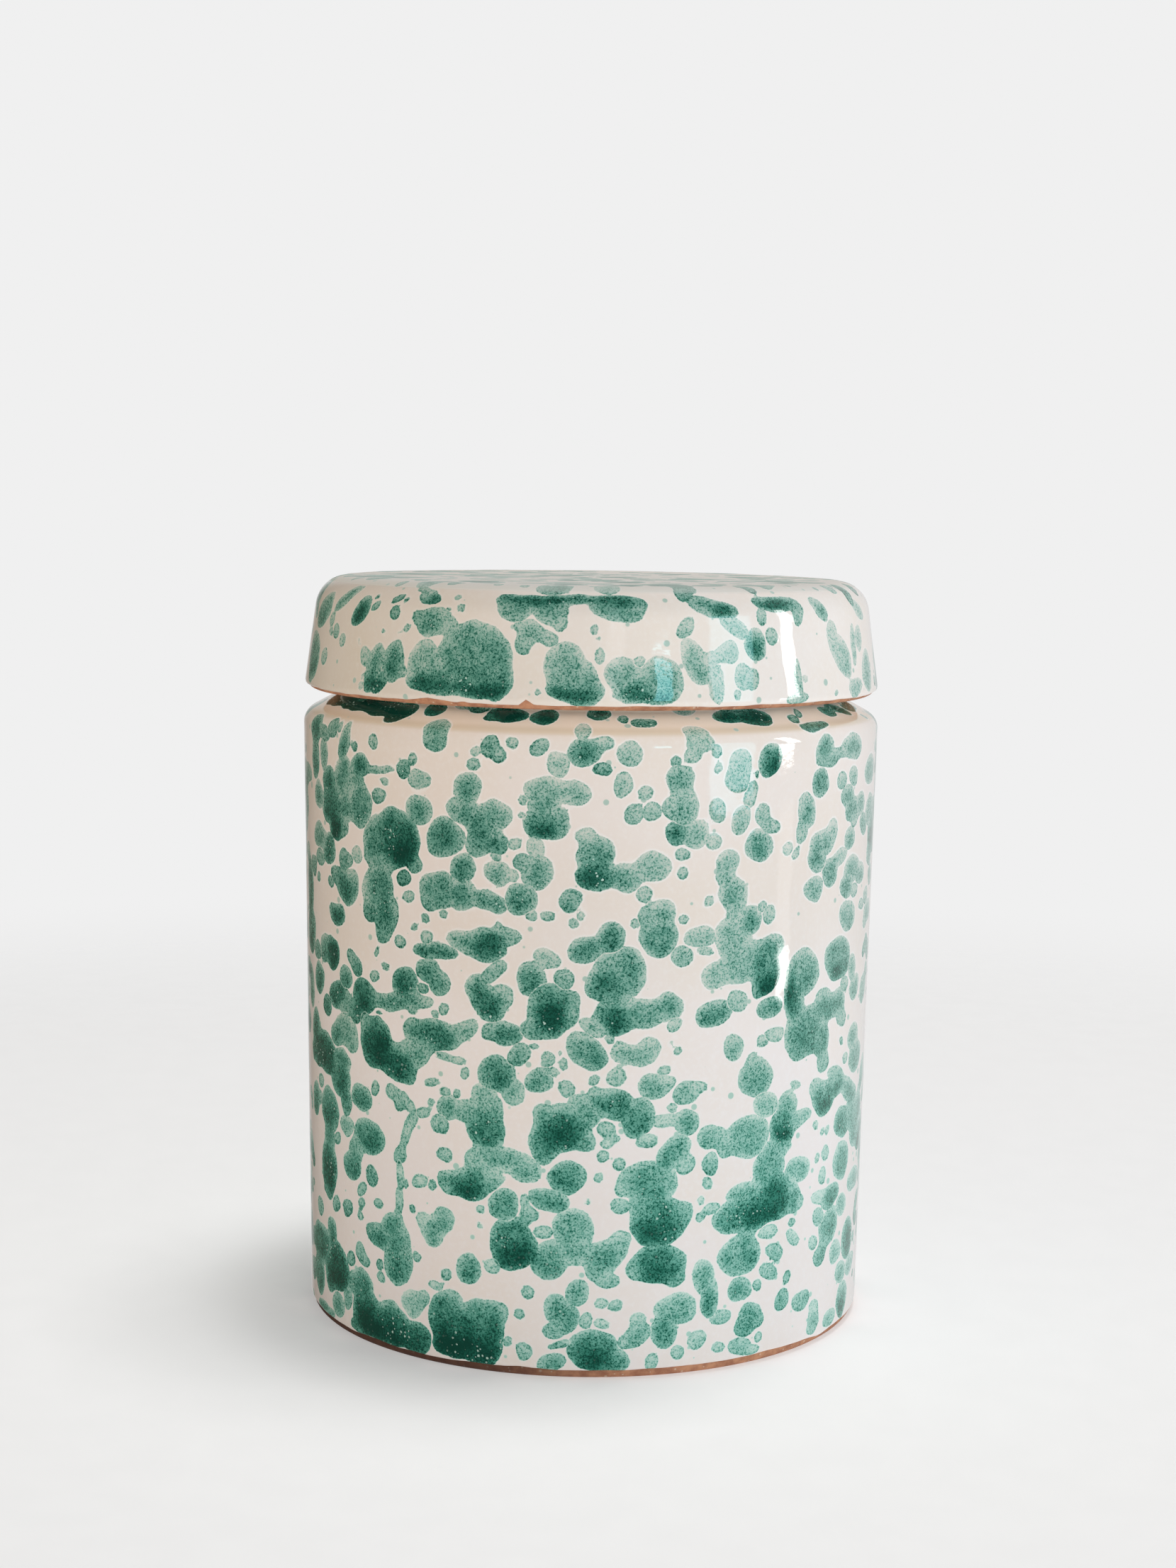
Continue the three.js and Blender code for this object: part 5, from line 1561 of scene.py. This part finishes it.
# A small lamp overhead, which lights the jar alone and passes the lid, so that the slope under it is light
SLOPE_PLACE = (0.0, 0.0, 1.0)
SLOPE_SIZE = (0.1, 0.1)
SLOPE_COLOUR = (1.0, 0.98, 0.93)
SLOPE_RADIANCE = 85.0
# A lamp behind, which lights the back of the jar and of the lid
BACK_PLACE = (0.0, 0.80, 0.09)
BACK_SIZE = (0.32, 0.16)
BACK_RADIANCE = 22.0
# A lamp above and behind, which lights the lid alone
TOP_PLACE = (0.0, 0.31, 1.0)
TOP_SIZE = (1.0, 0.38)
TOP_RADIANCE = 4.8
# Turns of lamps that face straight down and forwards
DOWNWARDS = (0, 0, 0)
FORWARDS = (math.radians(90), 0, math.radians(180))


def add_lamp(name, place, turned, size, colour, radiance, lit, blockers=None, shiny=True):
    """An area lamp out of the camera's sight, for the given pieces. Only blockers, if given, shade it."""
    width, height = size
    light = bpy.data.lights.new(name, "AREA")
    light.shape = "RECTANGLE"
    light.size = width
    light.size_y = height
    light.color = colour
    light.energy = radiance * math.pi * width * height
    lamp = bpy.data.objects.new(name, light)
    lamp.location = place
    lamp.rotation_euler = turned
    lamp.visible_camera = False
    lamp.visible_glossy = shiny
    bpy.context.scene.collection.objects.link(lamp)
    receivers = bpy.data.collections.new(f"lit_by_{name}")
    for piece in lit:
        receivers.objects.link(piece)
    lamp.light_linking.receiver_collection = receivers
    if blockers:
        shading = bpy.data.collections.new(f"shades_{name}")
        for piece in blockers:
            shading.objects.link(piece)
        lamp.light_linking.blocker_collection = shading


def aimed(place):
    """The turn of a lamp that faces the origin."""
    x, y, z = place
    return math.atan2(math.hypot(x, y), z), 0, math.atan2(x, -y)


def make_lamps(pieces, floor):
    for name, azimuth, distance, width, bottom, top, colour, radiance in PANES:
        angle = math.radians(azimuth)
        place = (distance * math.sin(angle), -distance * math.cos(angle), (bottom + top) / 2)
        turned = (math.radians(90), 0, angle)
        add_lamp(name, place, turned, (width, top - bottom), colour, radiance, pieces)
    jar, lid = pieces[:2], pieces[2:]
    add_lamp("key", KEY_PLACE, aimed(KEY_PLACE), KEY_SIZE, WHITE, KEY_RADIANCE, [floor])
    add_lamp("slope", SLOPE_PLACE, DOWNWARDS, SLOPE_SIZE, SLOPE_COLOUR, SLOPE_RADIANCE, jar, jar, shiny=False)
    add_lamp("back", BACK_PLACE, FORWARDS, BACK_SIZE, WHITE, BACK_RADIANCE, pieces, shiny=False)
    add_lamp("top", TOP_PLACE, DOWNWARDS, TOP_SIZE, WHITE, TOP_RADIANCE, lid, shiny=False)


# Camera: place, tilt and roll in degrees, lens in millimetres, and nearest distance seen
CAMERA_PLACE = (-0.00045, -0.598, 0.1852)
CAMERA_TILT = 83.7
CAMERA_ROLL = 0.78
CAMERA_LENS = 60.22
CAMERA_NEAR = 0.01


def make_camera():
    data = bpy.data.cameras.new("camera")
    data.lens = CAMERA_LENS
    data.clip_start = CAMERA_NEAR
    camera = bpy.data.objects.new("camera", data)
    camera.location = CAMERA_PLACE
    tilt = Matrix.Rotation(math.radians(CAMERA_TILT), 3, "X")
    roll = Matrix.Rotation(math.radians(CAMERA_ROLL), 3, "Z")
    camera.rotation_euler = (tilt @ roll).to_euler()
    bpy.context.scene.collection.objects.link(camera)
    bpy.context.scene.camera = camera


# The whole

glaze = make_glaze("splashed_glaze", splashed=True, on_jar=True)
lid_glaze = make_glaze("splashed_lid_glaze", splashed=True, on_lid=True)
plain_glaze = make_glaze("plain_glaze", splashed=False)
clay = make_clay("red_clay")
pieces = []

for make, body, node, slot, look in (
    (make_jar_clay, "jar", "jar_body", "bare_clay", clay),
    (make_jar_coat, "jar", "jar_glaze", "glaze", glaze),
    (make_lid_clay, "lid", "lid_body", "bare_clay", clay),
    (make_lid_outer_coat, "lid", "lid_outer_glaze", "glaze", lid_glaze),
    (make_lid_inner_coat, "lid", "lid_inner_glaze", "glaze", plain_glaze),
):
    piece = make()
    piece.data.materials.append(look)
    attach(piece, body)
    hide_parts(node)
    pieces.append(piece)

make_world()
make_lamps(pieces, make_floor())
make_camera()
bpy.context.scene.view_settings.view_transform = "Standard"
